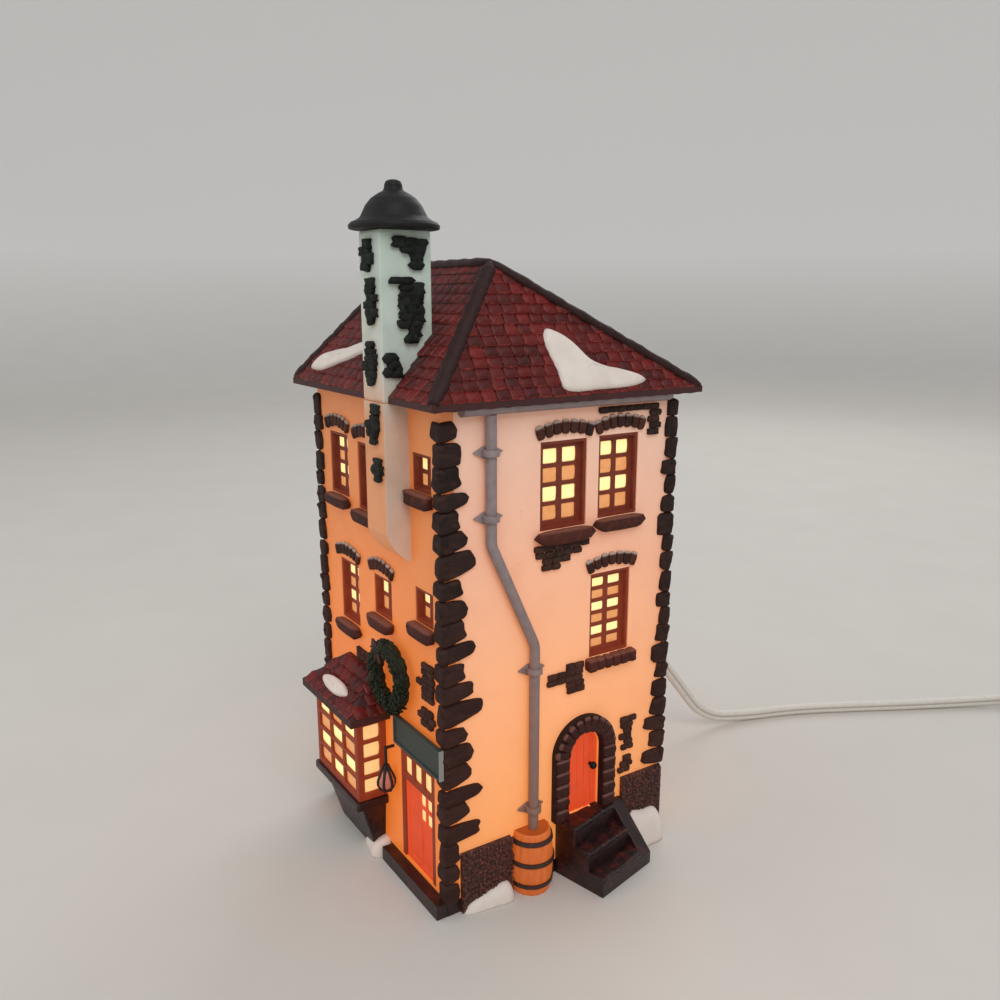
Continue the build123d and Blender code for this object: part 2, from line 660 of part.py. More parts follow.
base_slab = block(-half_width, half_width, -half_depth, half_depth, 0, BASE)
nodes["base_plate"] = base_slab - Pos(0, -VENT_SHIFT, BASE / 2) * Cylinder(VENT_RADIUS, BASE)


# Corner stones
def quoin(sx, sy, v0, v1, long_leg, short_leg):
    """One stone bent round a corner: a tongue on the side wall and a short leg on the front or back."""
    x_face = half_width + QUOIN_OUT
    y_face = half_depth + QUOIN_OUT
    y_tip = half_depth - long_leg
    middle = (v0 + v1) / 2 + QUOIN_RAISE * long_leg
    low_tip = middle - QUOIN_TIP * (v1 - v0) / 2
    high_tip = middle + QUOIN_TIP * (v1 - v0) / 2
    tongue = Polyline((y_face, v0), (y_face, v1), (y_tip, high_tip), (y_tip, low_tip), close=True)
    long_part = WALL_PLANES["side"].location * extrude(make_face(tongue), QUOIN_OUT)
    short_part = block(half_width - short_leg, x_face, half_depth, y_face, v0, v1)
    stone = long_part + short_part
    if sx < 0:
        stone = stone.mirror(Plane.YZ)
    if sy < 0:
        stone = stone.mirror(Plane.XZ)
    return stone


def quoin_stack(sx, sy, bottom, low_top, shift, shares, fade):
    """Stones up one corner; those below low_top keep short legs beside the plinth."""
    lower, upper = shares
    stones = []
    v0 = bottom
    count = len(QUOIN_HEIGHTS)
    i = shift
    while v0 + QUOIN_HEIGHTS[i % count] < WALL_TOP - GUTTER_RADIUS:
        v1 = v0 + QUOIN_HEIGHTS[i % count]
        long_leg = QUOIN_LONG[i % count] * max(upper, lower - (v0 - bottom) / fade)
        if v0 < low_top:
            long_leg = QUOIN_PLINTH_LONG
        stones.append(quoin(sx, sy, v0, v1, long_leg, QUOIN_SHORT[i % count]))
        v0 = v1 + QUOIN_GAP
        i += 1
    return stones


near_fade = (QUOIN_NEAR_SHARES, QUOIN_NEAR_FADE)
right_fade = (QUOIN_RIGHT_SHARES, QUOIN_RIGHT_FADE)
nodes["quoins_near_corner"] = group(*quoin_stack(1, -1, BASE, PLINTH_LEFT_TOP, 0, *near_fade))
nodes["quoins_right_back"] = group(*quoin_stack(1, 1, PLINTH_RIGHT_TOP + QUOIN_GAP, 0, 3, *right_fade))
far_front = quoin_stack(-1, -1, BASE, 0, 1, *near_fade)
far_back = quoin_stack(-1, 1, BASE, 0, 5, *right_fade)
nodes["quoins_far_side"] = group(*far_front, *far_back)


# Gutter, downspout and rain barrel
gutter_x = half_width + GUTTER_OFF_WALL
spout_x = half_width + SPOUT_OFF_WALL
gutter_length = HOUSE_DEPTH - 2 * GUTTER_END_INSET
barrel_x = half_width + BARREL_SETBACK


def gutter():
    """A half-round trough under the eave, with closed ends."""
    along = Plane(origin=(gutter_x, -gutter_length / 2, WALL_TOP), x_dir=(1, 0, 0), z_dir=(0, 1, 0))
    trough = extrude(along * Circle(GUTTER_RADIUS), gutter_length)
    bore_start = Pos(0, 0, GUTTER_SKIN) * Circle(GUTTER_RADIUS - GUTTER_SKIN)
    bore = extrude(along * bore_start, gutter_length - 2 * GUTTER_SKIN)
    reach = 2 * GUTTER_RADIUS
    above = block(
        gutter_x - reach, gutter_x + reach, -gutter_length, gutter_length, WALL_TOP, WALL_TOP + reach
    )
    return trough - bore - above


def downspout():
    """A round pipe with two bends, from the gutter down to the barrel's lid."""
    path = FilletPolyline(
        (spout_x, spout_high_y, WALL_TOP - GUTTER_RADIUS),
        (spout_x, spout_high_y, SPOUT_BEND_HIGH),
        (spout_x, spout_low_y, SPOUT_BEND_LOW),
        (spout_x, spout_low_y, BARREL_HEIGHT),
        radius=SPOUT_BEND_RADIUS,
    )
    return sweep(Plane(origin=path @ 0, z_dir=path % 0) * Circle(SPOUT_RADIUS), path=path)


def pipe_bracket(y, z):
    """A collar round the pipe on a wall plate with pointed ends."""
    half = BRACKET_HEIGHT / 2
    reach = BRACKET_SPAN / 2
    root = SPOUT_RADIUS
    lower = [(-reach, 0), (-root, -half), (root, -half)]
    upper = [(reach, 0), (root, half), (-root, half)]
    plate = extrude(make_face(Polyline(*lower, *upper, close=True)), BRACKET_PLATE)
    collar = Pos(spout_x, y, z) * Cylinder(SPOUT_RADIUS + BRACKET_PLATE, COLLAR_HEIGHT)
    inside = block(0, half_width, y - reach, y + reach, z - half, z + half)
    bracket = WALL_PLANES["side"].location * Pos(y, z, 0) * plate + collar - inside
    return bracket - Pos(spout_x, y, z) * Cylinder(SPOUT_RADIUS, BRACKET_HEIGHT)


def barrel_profile(extra, z0, z1):
    """Half of a barrel's outline between two heights, bulging to its full radius at half height."""
    middle = BARREL_HEIGHT / 2
    bulge = BARREL_RADIUS - BARREL_WAIST
    radii = []
    for z in (z0, (z0 + z1) / 2, z1):
        radii.append(BARREL_RADIUS - bulge * ((z - middle) / middle) ** 2 + extra)
    side = ThreePointArc((radii[0], z0), (radii[1], (z0 + z1) / 2), (radii[2], z1))
    ends = Polyline((radii[2], z1), (0, z1), (0, z0), (radii[0], z0))
    return revolve(Plane.XZ * make_face([side, ends]), Axis.Z)


def half_barrel(solid):
    """Cuts away what would lie inside the wall."""
    placed = Pos(barrel_x, spout_low_y, 0) * solid
    reach = 2 * BARREL_RADIUS
    y0 = spout_low_y - reach
    y1 = spout_low_y + reach
    inside = block(half_width - reach, half_width, y0, y1, -BARREL_HEIGHT, 2 * BARREL_HEIGHT)
    return placed - inside


barrel = barrel_profile(0, 0, BARREL_HEIGHT)
hoops = [barrel_profile(HOOP_OUT, z, z + HOOP_HEIGHT) - barrel for z in HOOP_LEVELS]
high_brackets = [pipe_bracket(spout_high_y, z) for z in BRACKET_LEVELS]
low_brackets = [pipe_bracket(spout_low_y, z) for z in BRACKET_LOW_LEVELS]
nodes["gutter"] = gutter()
nodes["downspout"] = downspout()
nodes["pipe_brackets"] = group(*high_brackets, *low_brackets)
nodes["rain_barrel"] = half_barrel(barrel)
nodes["barrel_hoops"] = group(*[half_barrel(hoop) for hoop in hoops])


# Side door with its surround, steps and plinths
def side_door():
    """A plank door: an arched leaf at the back of its recess, with grooves between the planks."""
    face = Pos(side_door_y, 0, -SIDE_DOOR_RECESS) * arch(SIDE_DOOR_WIDTH, SIDE_DOOR_SILL, SIDE_DOOR_SPRING)
    leaf = WALL_PLANES["side"].location * extrude(face, SIDE_DOOR_LEAF)
    top = SIDE_DOOR_LEAF - SIDE_DOOR_RECESS
    grooves = []
    for i in range(1, SIDE_DOOR_PLANKS):
        u = side_door_y - SIDE_DOOR_WIDTH / 2 + i * SIDE_DOOR_WIDTH / SIDE_DOOR_PLANKS
        high = SIDE_DOOR_SPRING + SIDE_DOOR_WIDTH
        half = PLANK_GROOVE / 2
        grooves.append(on_wall("side", u - half, u + half, SIDE_DOOR_SILL, high, top - PLANK_GROOVE, top))
    return leaf.cut(*grooves)


def door_surround():
    outer = arch(SIDE_DOOR_WIDTH + 2 * SURROUND_BAND, SIDE_DOOR_SILL, SIDE_DOOR_SPRING)
    inner = arch(SIDE_DOOR_WIDTH, SIDE_DOOR_SILL, SIDE_DOOR_SPRING)
    band = extrude(Pos(side_door_y, 0, 0) * (outer - inner), SURROUND_OUT)
    return WALL_PLANES["side"].location * band


def side_knob():
    """A round knob on a short stem that stands on the door's face."""
    face = SIDE_DOOR_LEAF - SIDE_DOOR_RECESS
    u = side_door_y + SIDE_DOOR_WIDTH / 2 - KNOB_INSET
    stem = Pos(0, 0, KNOB_RADIUS / 2) * Cylinder(KNOB_RADIUS / 2, KNOB_RADIUS)
    ball = Pos(0, 0, 1.5 * KNOB_RADIUS) * Sphere(KNOB_RADIUS)
    return WALL_PLANES["side"].location * Pos(u, KNOB_HEIGHT, face) * (stem + ball)


def side_steps():
    """Treads and a sloping cheek on their right, turned a little and cut off at the wall."""
    out = STEP_COUNT * STEP_DEPTH
    behind = -STEP_RIGHT
    treads_end = STEP_RIGHT - CHEEK_WIDTH
    treads = []
    for i in range(STEP_COUNT):
        top = SIDE_DOOR_SILL * (STEP_COUNT - i) / STEP_COUNT
        treads.append(block(behind, (i + 1) * STEP_DEPTH, -STEP_LEFT, treads_end, 0, top))
    top = SIDE_DOOR_SILL
    cheek = Polyline((behind, 0), (behind, top), (CHEEK_FLAT, top), (out, CHEEK_LOW), (out, 0), close=True)
    cheek = Pos(0, STEP_RIGHT, 0) * extrude(Plane.XZ * make_face(cheek), CHEEK_WIDTH)
    flight = Pos(half_width, side_door_y, 0) * Rot(0, 0, STEP_TURN) * cheek.fuse(*treads)
    return flight - block(-half_width, half_width, -half_depth, half_depth, 0, top)


def plinth(y0, y1, top):
    slab = on_wall("side", y0, y1, 0, top, 0, PLINTH_OUT)
    upper = slab.edges().filter_by(Axis.Y).sort_by(Axis.Z)[-2:].sort_by(Axis.X)[-1]
    return chamfer(upper, PLINTH_CHAMFER)


near_plinth_start = -half_depth + QUOIN_PLINTH_LONG + QUOIN_GAP
step_turn = math.radians(STEP_TURN)
steps_end = side_door_y + STEP_RIGHT / math.cos(step_turn) + PLINTH_OUT * math.tan(step_turn) + PLINTH_GAP
nodes["side_door"] = side_door()
nodes["side_door_knob"] = side_knob()
nodes["side_door_surround"] = door_surround()
nodes["side_steps"] = side_steps()
nodes["rubble_plinth"] = group(
    plinth(near_plinth_start, PLINTH_LEFT_END * DEPTH_STRETCH, PLINTH_LEFT_TOP),
    plinth(steps_end, half_depth, PLINTH_RIGHT_TOP),
)


# Bay window
bay_x0 = BAY_X - BAY_WIDTH / 2
bay_x1 = BAY_X + BAY_WIDTH / 2
bay_y0 = -half_depth - BAY_OUT


def bay_frame():
    """A three-sided frame: a barred front and two barred sides, one column wide."""
    outer = on_wall("shop", bay_x0, bay_x1, BAY_SILL, BAY_HEAD, 0, BAY_OUT)
    room = on_wall(
        "shop", bay_x0 + BAY_POST, bay_x1 - BAY_POST, BAY_SILL, BAY_HEAD, 0, BAY_OUT - BAY_POST
    )
    low = BAY_SILL + BAY_POST
    high = BAY_HEAD - BAY_POST
    clear = (low, high)
    bars = (BAY_BAR, BAY_BAR)
    front = pane_grid(bay_x0 + BAY_POST, bay_x1 - BAY_POST, *clear, BAY_COLUMNS, BAY_ROWS, *bars)
    sides = pane_grid(BAY_POST, BAY_OUT - BAY_POST, *clear, 1, BAY_ROWS, *bars)
    holes = [on_wall("shop", *cell, BAY_OUT - BAY_POST, BAY_OUT) for cell in front]
    for w0, w1, v0, v1 in sides:
        holes.append(on_wall("shop", bay_x0, bay_x0 + BAY_POST, v0, v1, w0, w1))
        holes.append(on_wall("shop", bay_x1 - BAY_POST, bay_x1, v0, v1, w0, w1))
    return outer.cut(room, *holes)


def bay_panes():
    """A three-sided sheet just inside the bay's frame."""
    inset = BAY_POST
    outer = on_wall("shop", bay_x0 + inset, bay_x1 - inset, BAY_SILL, BAY_HEAD, 0, BAY_OUT - inset)
    inset = BAY_POST + PANE
    room = on_wall("shop", bay_x0 + inset, bay_x1 - inset, BAY_SILL, BAY_HEAD, 0, BAY_OUT - inset)
    return outer - room


def bay_base():
    """A stone foot under the bay that draws in towards the wall, with a wider slab as the bay's sill."""
    slab_low = BAY_SILL - BAY_SILL_SLAB
    inset = BAY_FOOT_INSET
    low = (bay_x0 + inset, bay_x1 - inset, -half_depth - BAY_FOOT_OUT, -half_depth, 0)
    inset = BAY_BASE_INSET
    high = (bay_x0 + inset, bay_x1 - inset, bay_y0 + inset, -half_depth, slab_low)
    foot = ruled_block(low, high)
    lip = BAY_SLAB_LIP
    slab = on_wall("shop", bay_x0 - lip, bay_x1 + lip, slab_low, BAY_SILL, 0, BAY_OUT + lip)
    return foot + slab


def bay_roof_rectangle(share, lip):
    half = between(BAY_WIDTH / 2 + BAY_EAVE_LIP, BAY_ROOF_TOP_WIDTH / 2, share) + lip
    front = -half_depth - between(BAY_OUT + BAY_EAVE_LIP, RIDGE_FLAT, share) - lip
    return (BAY_X - half, BAY_X + half, front, -half_depth, BAY_HEAD + BAY_EAVE + BAY_ROOF_RISE * share)


def bay_roof():
    x0, x1, y0, y1, z = bay_roof_rectangle(0, COURSE_LIP)
    courses = []
    for i in range(BAY_ROOF_COURSES):
        low = bay_roof_rectangle(i / BAY_ROOF_COURSES, COURSE_LIP)
        high = bay_roof_rectangle((i + 1) / BAY_ROOF_COURSES, 0)
        courses.append(ruled_block(low, high))
    return block(x0, x1, y0, y1, BAY_HEAD, z).fuse(*courses)


nodes["bay_base"] = bay_base()
nodes["bay_frame"] = bay_frame()
nodes["bay_panes"] = bay_panes()
nodes["bay_roof"] = bay_roof()

# Shop door in its recess: panes at the back, the leaf and the frame in front of them
door_x0 = SHOP_DOOR_X - SHOP_DOOR_WIDTH / 2
door_x1 = SHOP_DOOR_X + SHOP_DOOR_WIDTH / 2
leaf_x0 = door_x0 + SHOP_DOOR_JAMB
leaf_x1 = door_x1 - SHOP_DOOR_JAMB
transom_top = SHOP_DOOR_TOP - SHOP_DOOR_JAMB
leaf_top = TRANSOM_SILL - TRANSOM_RAIL
door_back = -SHOP_DOOR_RECESS + PANE
light_x = between(leaf_x0, leaf_x1, SHOP_LIGHT_SHARE)


def shop_door_frame():
    slab = on_wall("shop", door_x0, door_x1, SHOP_DOOR_SILL, SHOP_DOOR_TOP, door_back, 0)
    cells = pane_grid(leaf_x0, leaf_x1, TRANSOM_SILL, transom_top, TRANSOM_PANES, 1, WINDOW_BAR, WINDOW_BAR)
    holes = [on_wall("shop", *cell, door_back, 0) for cell in cells]
    way = on_wall("shop", leaf_x0, leaf_x1, SHOP_DOOR_SILL, leaf_top, door_back, 0)
    return slab.cut(way, *holes)


def shop_door():
    """A plain panel on the left, and on the right a two by two light over a lower panel."""
    face = door_back + SHOP_LEAF
    leaf = on_wall("shop", leaf_x0, leaf_x1, SHOP_DOOR_SILL, leaf_top, door_back, face)
    rail = SHOP_LEAF_RAIL
    u1 = leaf_x1 - SHOP_LEAF_STILE
    v1 = leaf_top - SHOP_LEAF_STILE
    cells = pane_grid(light_x, u1, SHOP_LIGHT_SILL, v1, 2, 2, WINDOW_BAR, WINDOW_BAR)
    holes = [on_wall("shop", *cell, door_back, face) for cell in cells]
    low = SHOP_DOOR_SILL + rail
    sunk = face - PLANK_GROOVE
    under = on_wall("shop", light_x, u1, low, SHOP_LIGHT_SILL - rail, sunk, face)
    left = on_wall("shop", leaf_x0 + rail, light_x - rail, low, leaf_top - rail, sunk, face)
    return leaf.cut(under, left, *holes)


def shop_door_panes():
    back = -SHOP_DOOR_RECESS
    transom = on_wall("shop", door_x0, door_x1, TRANSOM_SILL, SHOP_DOOR_TOP, back, door_back)
    light = on_wall("shop", leaf_x0, leaf_x1, SHOP_LIGHT_SILL, leaf_top, back, door_back)
    return group(transom, light)


nodes["shop_door_frame"] = shop_door_frame()
nodes["shop_door"] = shop_door()
nodes["shop_door_panes"] = shop_door_panes()
nodes["shop_step"] = on_wall("shop", SHOP_STEP_LEFT, half_width, 0, BASE, 0, SHOP_STEP_OUT)


# Sign board, wreath and wall lantern
def sign_board():
    """A bare board with a raised rim, on two studs that reach the wall."""
    u0 = SIGN_X - SIGN_WIDTH / 2
    u1 = SIGN_X + SIGN_WIDTH / 2
    v0 = SIGN_Z - SIGN_HEIGHT / 2
    v1 = SIGN_Z + SIGN_HEIGHT / 2
    face = SIGN_OFF_WALL + SIGN_THICKNESS
    board = on_wall("shop", u0, u1, v0, v1, SIGN_OFF_WALL, face)
    rim = SIGN_RIM
    field = on_wall("shop", u0 + rim, u1 - rim, v0 + rim, v1 - rim, face - rim / 2, face)
    studs = []
    for u in (SIGN_X - SIGN_WIDTH / 4, SIGN_X):
        stud = Pos(u, SIGN_Z, SIGN_OFF_WALL / 2) * Cylinder(SIGN_STUD_RADIUS, SIGN_OFF_WALL)
        studs.append(WALL_PLANES["shop"].location * stud)
    return (board - field).fuse(*studs)


def lantern():
    """A drop-shaped lamp on a thin stem, hung from a wall stud."""
    r = LANTERN_RADIUS
    h = LANTERN_HEIGHT
    stem = LANTERN_STEM_RADIUS
    top = h + LANTERN_STEM
    drop = [(0, 0), (r / 2, 0), (r, h / 4), (r, h * 0.4), (r / 2, h * 0.8), (stem, h)]
    outline = Polyline(*drop, (stem, top), (0, top), close=True)
    hung_y = -half_depth - LANTERN_OUT
    lamp = Pos(LANTERN_X, hung_y, LANTERN_LOW) * revolve(Plane.XZ * make_face(outline), Axis.Z)
    stud_z = LANTERN_LOW + top - stem
    stud = rod((LANTERN_X, -half_depth, stud_z), (LANTERN_X, hung_y, stud_z), stem)
    return lamp + stud


wreath_ring = Pos(WREATH_X, WREATH_Z, WREATH_TUBE) * Torus(WREATH_RADIUS, WREATH_TUBE)
nodes["sign_board"] = sign_board()
nodes["wreath"] = WALL_PLANES["shop"].location * wreath_ring
nodes["lantern"] = lantern()


# Snow
def slope_plane(x_dir, foot, top):
    """A plane on a roof slope, lifted to the lips of the courses: u along the eave, v up the slope."""
    along = Vector(*x_dir)
    up = (Vector(*top) - Vector(*foot)).normalized()
    normal = along.cross(up)
    return Plane(origin=Vector(*foot) + normal * COURSE_LIP, x_dir=along, z_dir=normal)


def snow_lobe(plane, points):
    """A soft-edged sheet of snow on a slope."""
    outline = Spline(*points, periodic=True)
    return extrude(plane * make_face(outline), SNOW_THICKNESS)


def drift(wall, u0, u1, out, height, shares):
    """A bank of snow at the foot of a wall: a quarter ellipse at each end, and the skin between them."""
    foot = PLINTH_OUT if wall == "side" else 0
    plane = WALL_PLANES[wall]
    ends = []
    for drawn_u, share in zip((u0, u1), shares):
        u = drawn_u * WALL_STRETCH[wall]
        outline = Polyline((foot, share * height), (foot, 0), (foot + share * out, 0))
        bank = EllipticalCenterArc((foot, 0), share * out, share * height, 0, arc_size=90)
        across = Plane(origin=plane.origin + plane.x_dir * u, x_dir=plane.z_dir, z_dir=-plane.x_dir)
        ends.append(across * make_face([outline, bank]))
    return loft(ends)


eave_x = half_width + EAVE_OVERHANG
eave_y = half_depth + EAVE_OVERHANG
side_slope = slope_plane((0, 1, 0), (eave_x, 0, eave_top), (RIDGE_LENGTH / 2, 0, ridge_top))
front_slope = slope_plane((1, 0, 0), (0, -eave_y, eave_top), (0, RIDGE_SHIFT - RIDGE_FLAT / 2, ridge_top))
bay_foot = (BAY_X, -half_depth - BAY_OUT - BAY_EAVE_LIP, BAY_HEAD + BAY_EAVE)
bay_top = (BAY_X, -half_depth - RIDGE_FLAT, BAY_HEAD + BAY_EAVE + BAY_ROOF_RISE)
bay_slope = slope_plane((1, 0, 0), bay_foot, bay_top)
bay_outline = Pos(0, BAY_SNOW_HEIGHT, 0) * Ellipse(BAY_SNOW_WIDTH / 2, BAY_SNOW_HEIGHT / 2)
bay_lobe = extrude(bay_slope * bay_outline, SNOW_THICKNESS)
nodes["snow_patches"] = group(
    snow_lobe(side_slope, SIDE_ROOF_SNOW),
    snow_lobe(front_slope, FRONT_ROOF_SNOW),
    bay_lobe,
    drift(**DRIFT_LEFT),
    drift(**DRIFT_RIGHT) - nodes["side_steps"],
    drift(**DRIFT_SHOP) - nodes["bay_base"],
)


# Lamp holder, clip and bulb, turned about the lamp's axis with t measured out of the back wall
def turned(*profile):
    """A solid of revolution about the lamp's axis from (radius, distance out of the wall) points."""
    face = make_face(Polyline(*profile, close=True))
    solid = revolve(Plane.XZ * face, Axis.Z)
    return lamp_axis.location * solid


flange_face = FLANGE_SEAT + FLANGE_THICKNESS
taper_tip = flange_face + TAPER_LENGTH
bulb_seat = HOLDER_REACH - BULB_BASE_LENGTH - BULB_BASE_END_GAP


def lamp_socket():
    bore = BULB_BASE_RADIUS + BULB_FIT
    return turned(
        (0, taper_tip),
        (TAPER_TIP_RADIUS, taper_tip),
        (TAPER_ROOT_RADIUS, flange_face),
        (FLANGE_RADIUS, flange_face),
        (FLANGE_RADIUS, FLANGE_SEAT),
        (HOLDER_RADIUS, FLANGE_SEAT),
        (HOLDER_RADIUS, -HOLDER_REACH),
        (bore, -HOLDER_REACH),
        (bore, -bulb_seat),
        (0, -bulb_seat),
    )


def lamp_clip():
    """A spring band round the holder, with two arms that bow out to the edge of the hole."""
    band_low = -HOLDER_REACH + CLIP_BAND_END - CLIP_BAND
    band_high = band_low + CLIP_BAND
    outside = HOLDER_RADIUS + CLIP_STRIP
    band = turned(
        (HOLDER_RADIUS, band_low),
        (outside, band_low),
        (outside, band_high),
        (HOLDER_RADIUS, band_high),
    )
    tip = LAMP_HOLE_RADIUS - CLIP_ARM_GAP
    inner = [
        (HOLDER_RADIUS + CLIP_STRIP / 2, band_high - CLIP_STRIP),
        (tip - CLIP_STRIP, -WALL / 2),
        (HOLDER_RADIUS + CLIP_STRIP, -FLANGE_SEAT),
    ]
    outer = [(r + CLIP_STRIP, t) for r, t in reversed(inner)]
    face = Plane.XZ * make_face(Polyline(*inner, *outer, close=True))
    arm = extrude(face, CLIP_ARM_WIDTH / 2, both=True)
    ring = Cylinder(HOLDER_RADIUS, 4 * HOLDER_REACH)
    arm = arm - ring
    arms = [lamp_axis.location * arm, lamp_axis.location * Rot(0, 0, 180) * arm]
    return band.fuse(*arms)


def bulb_base():
    """A screw shell seen as a stack of shallow rounded threads."""
    points = [(0, -HOLDER_REACH), (BULB_BASE_RADIUS, -HOLDER_REACH)]
    points.append((BULB_BASE_RADIUS, -bulb_seat - BULB_BASE_END_GAP))
    points.append((0, -bulb_seat - BULB_BASE_END_GAP))
    return turned(*points)


def bulb_glass():
    """A candle bulb: a neck, a round belly and a drawn-out tip."""
    t = -HOLDER_REACH
    belly = t - BULB_LENGTH / 3
    tip = t - BULB_LENGTH
    middle = between(belly, tip, 0.5)
    side = Spline(
        (BULB_NECK_RADIUS, t),
        (BULB_RADIUS, belly),
        (between(BULB_RADIUS, BULB_TIP_RADIUS, 0.4), middle),
        (BULB_TIP_RADIUS, tip),
        tangents=[(0.5, -1), (-1, -0.5)],
    )
    core = Polyline((BULB_TIP_RADIUS, tip), (0, tip), (0, t), (BULB_NECK_RADIUS, t))
    solid = revolve(Plane.XZ * make_face([side, core]), Axis.Z)
    return lamp_axis.location * solid


nodes["lamp_socket"] = lamp_socket()
nodes["lamp_clip"] = lamp_clip()
nodes["bulb_base"] = bulb_base()
nodes["bulb_glass"] = bulb_glass()


# Coil: in along the floor layer, up in the half turn where it reverses, out along the upper layer
coil_outer = COIL_INNER_RADIUS + COIL_TURNS * COIL_PITCH
coil_low = CORD / 2 + COIL_LIFT
coil_high = coil_low + COIL_PITCH
in_angle = 360.0 * COIL_TURNS
exit_shift = (COIL_ENTRY_ANGLE - 180.0 - COIL_EXIT_ANGLE) % 360.0
out_angle = in_angle - 360.0 + exit_shift


def coil_point(turned_angle):
    """A point of the coil's middle line; the winding runs clockwise seen from above."""
    rate = COIL_PITCH / 360.0
    climb = min(max((turned_angle - in_angle) / 180.0, 0.0), 1.0)
    if turned_angle <= in_angle + 90.0:
        radius = coil_outer - rate * turned_angle
    else:
        radius = COIL_INNER_RADIUS - rate * 90.0 + rate * (turned_angle - in_angle - 90.0)
    z = coil_low + COIL_PITCH * (1 - math.cos(math.pi * climb)) / 2
    angle = math.radians(COIL_ENTRY_ANGLE - turned_angle)
    return Vector(COIL_X + radius * math.cos(angle), COIL_Y + radius * math.sin(angle), z)


def coil_direction(turned_angle):
    step = 0.05
    return (coil_point(turned_angle + step) - coil_point(turned_angle - step)).normalized()


def biarc(p0, t0, p1, t1):
    """Two arcs that join two points with the given directions."""
    chord = p1 - p0
    both = t0 + t1
    spread = 2 * (1 - t0.dot(t1))
    reach = chord.dot(both)
    length = chord.dot(chord) / (2 * reach)
    if spread > 1e-9:
        length = (math.sqrt(reach ** 2 + spread * chord.dot(chord)) - reach) / spread
    joint = (p0 + p1 + (t0 - t1) * length) * 0.5
    first = TangentArc(p0, joint, tangent=t0)
    second = TangentArc(joint, p1, tangent=first % 1)
    return [first, second]


coil_span = in_angle + 180.0 + out_angle
quarters = math.ceil(coil_span / 90.0)
coil_angles = [coil_span * i / quarters for i in range(quarters + 1)]
coil_arcs = []
for a, b in zip(coil_angles, coil_angles[1:]):
    coil_arcs += biarc(coil_point(a), coil_direction(a), coil_point(b), coil_direction(b))
coil_in_dir = coil_arcs[0] % 0
coil_out_dir = coil_arcs[-1] % 1
coil_start = coil_point(0) - coil_in_dir * CORD
coil_end = coil_point(coil_span) + coil_out_dir * CORD
coil_path = Wire([Line(coil_start, coil_point(0)), *coil_arcs, Line(coil_point(coil_span), coil_end)])
coil_section = Plane(origin=coil_start, z_dir=coil_in_dir) * Circle(CORD / 2)
nodes["cord_coil"] = sweep(coil_section, path=coil_path)


def least_coil_gap():
    """The least distance between the coil's turns, from points a few degrees apart."""
    step = 4.0
    count = int(coil_span / step)
    points = [coil_point(i * step) for i in range(count)]
    apart = int(120 / step)
    least = min((points[i] - points[j]).length for i in range(count) for j in range(i + apart, count))
    return least - CORD


# Lead from the taper to the coil, on straight runs joined by arcs as large as the runs allow
lead_start = Vector(LAMP_X, half_depth + taper_tip, LAMP_Z)
lead_end = coil_start - coil_in_dir * CORD_LAST_RUN
lead_points = [lead_start, *[Vector(*p) for p in CORD_POINTS], lead_end, coil_start]


def lead_radii(points):
    radii = []
    for before, here, after in zip(points, points[1:], points[2:]):
        one = here - before
        two = after - here
        turn = math.radians(one.get_angle(two))
        radii.append(CORD_ARC_SHARE * min(one.length, two.length) / math.tan(turn / 2))
    return radii


radii = lead_radii(lead_points)
lead_path = FilletPolyline(*lead_points, radius=radii)
lead = sweep(Plane(origin=lead_path @ 0, z_dir=lead_path % 0) * Circle(CORD / 2), path=lead_path)


def straight_lead(start, length):
    """A straight stretch of lead beyond the coil."""
    return rod(start, start + coil_out_dir * length, CORD / 2)


switch_start = coil_end + coil_out_dir * COIL_TAIL
switch_end = switch_start + coil_out_dir * SWITCH_LENGTH
plug_start = switch_end + coil_out_dir * PLUG_TAIL
tail_one = straight_lead(coil_end, COIL_TAIL)
tail_two = straight_lead(switch_end, PLUG_TAIL)
nodes["cord"] = group(lead, tail_one, tail_two)
lead_length = lead_path.length
coil_length = coil_path.length
print("lead radii", [round(r, 1) for r in radii])
print("lead runs", [round((b - a).length, 1) for a, b in zip(lead_points, lead_points[1:])])
cord_section = math.pi * CORD ** 2 / 4
lead_share = lead.volume / (lead_length * cord_section)
coil_share = nodes["cord_coil"].volume / (coil_length * cord_section)
print("lead length", round(lead_length, 1), "volume share", round(lead_share, 4))
print("coil length", round(coil_length, 1), "volume share", round(coil_share, 4))
print("coil least gap", round(least_coil_gap(), 2))
print("whole lead", round(lead_length + coil_length + COIL_TAIL + SWITCH_LENGTH + PLUG_TAIL, 1))


def coil_tie():
    """A strap round the whole bundle, square to the turns."""
    inside = COIL_INNER_RADIUS - COIL_PITCH / 4 - CORD / 2 - TIE_CLEARANCE
    outside = coil_outer + CORD / 2 + TIE_CLEARANCE
    low = coil_low - CORD / 2 - TIE_CLEARANCE
    high = coil_high + CORD / 2 + TIE_CLEARANCE
    half = TIE_WIDTH / 2
    skin = TIE_STRIP
    loop = block(inside - skin, outside + skin, -half, half, low - skin, high + skin)
    loop = loop - block(inside, outside, -half, half, low, high)
    return Pos(COIL_X, COIL_Y, 0) * Rot(0, 0, TIE_ANGLE) * loop


# Switch and plug lie in line with the end of the coil, on the ground
tail_plane = Plane(origin=switch_start, x_dir=coil_out_dir, z_dir=(0, 0, 1))
plug_plane = Plane(origin=plug_start, x_dir=coil_out_dir, z_dir=(0, 0, 1))
wheel_shift = SWITCH_WIDTH / 2 + WHEEL_PROUD - WHEEL_RADIUS
switch_half = coil_high


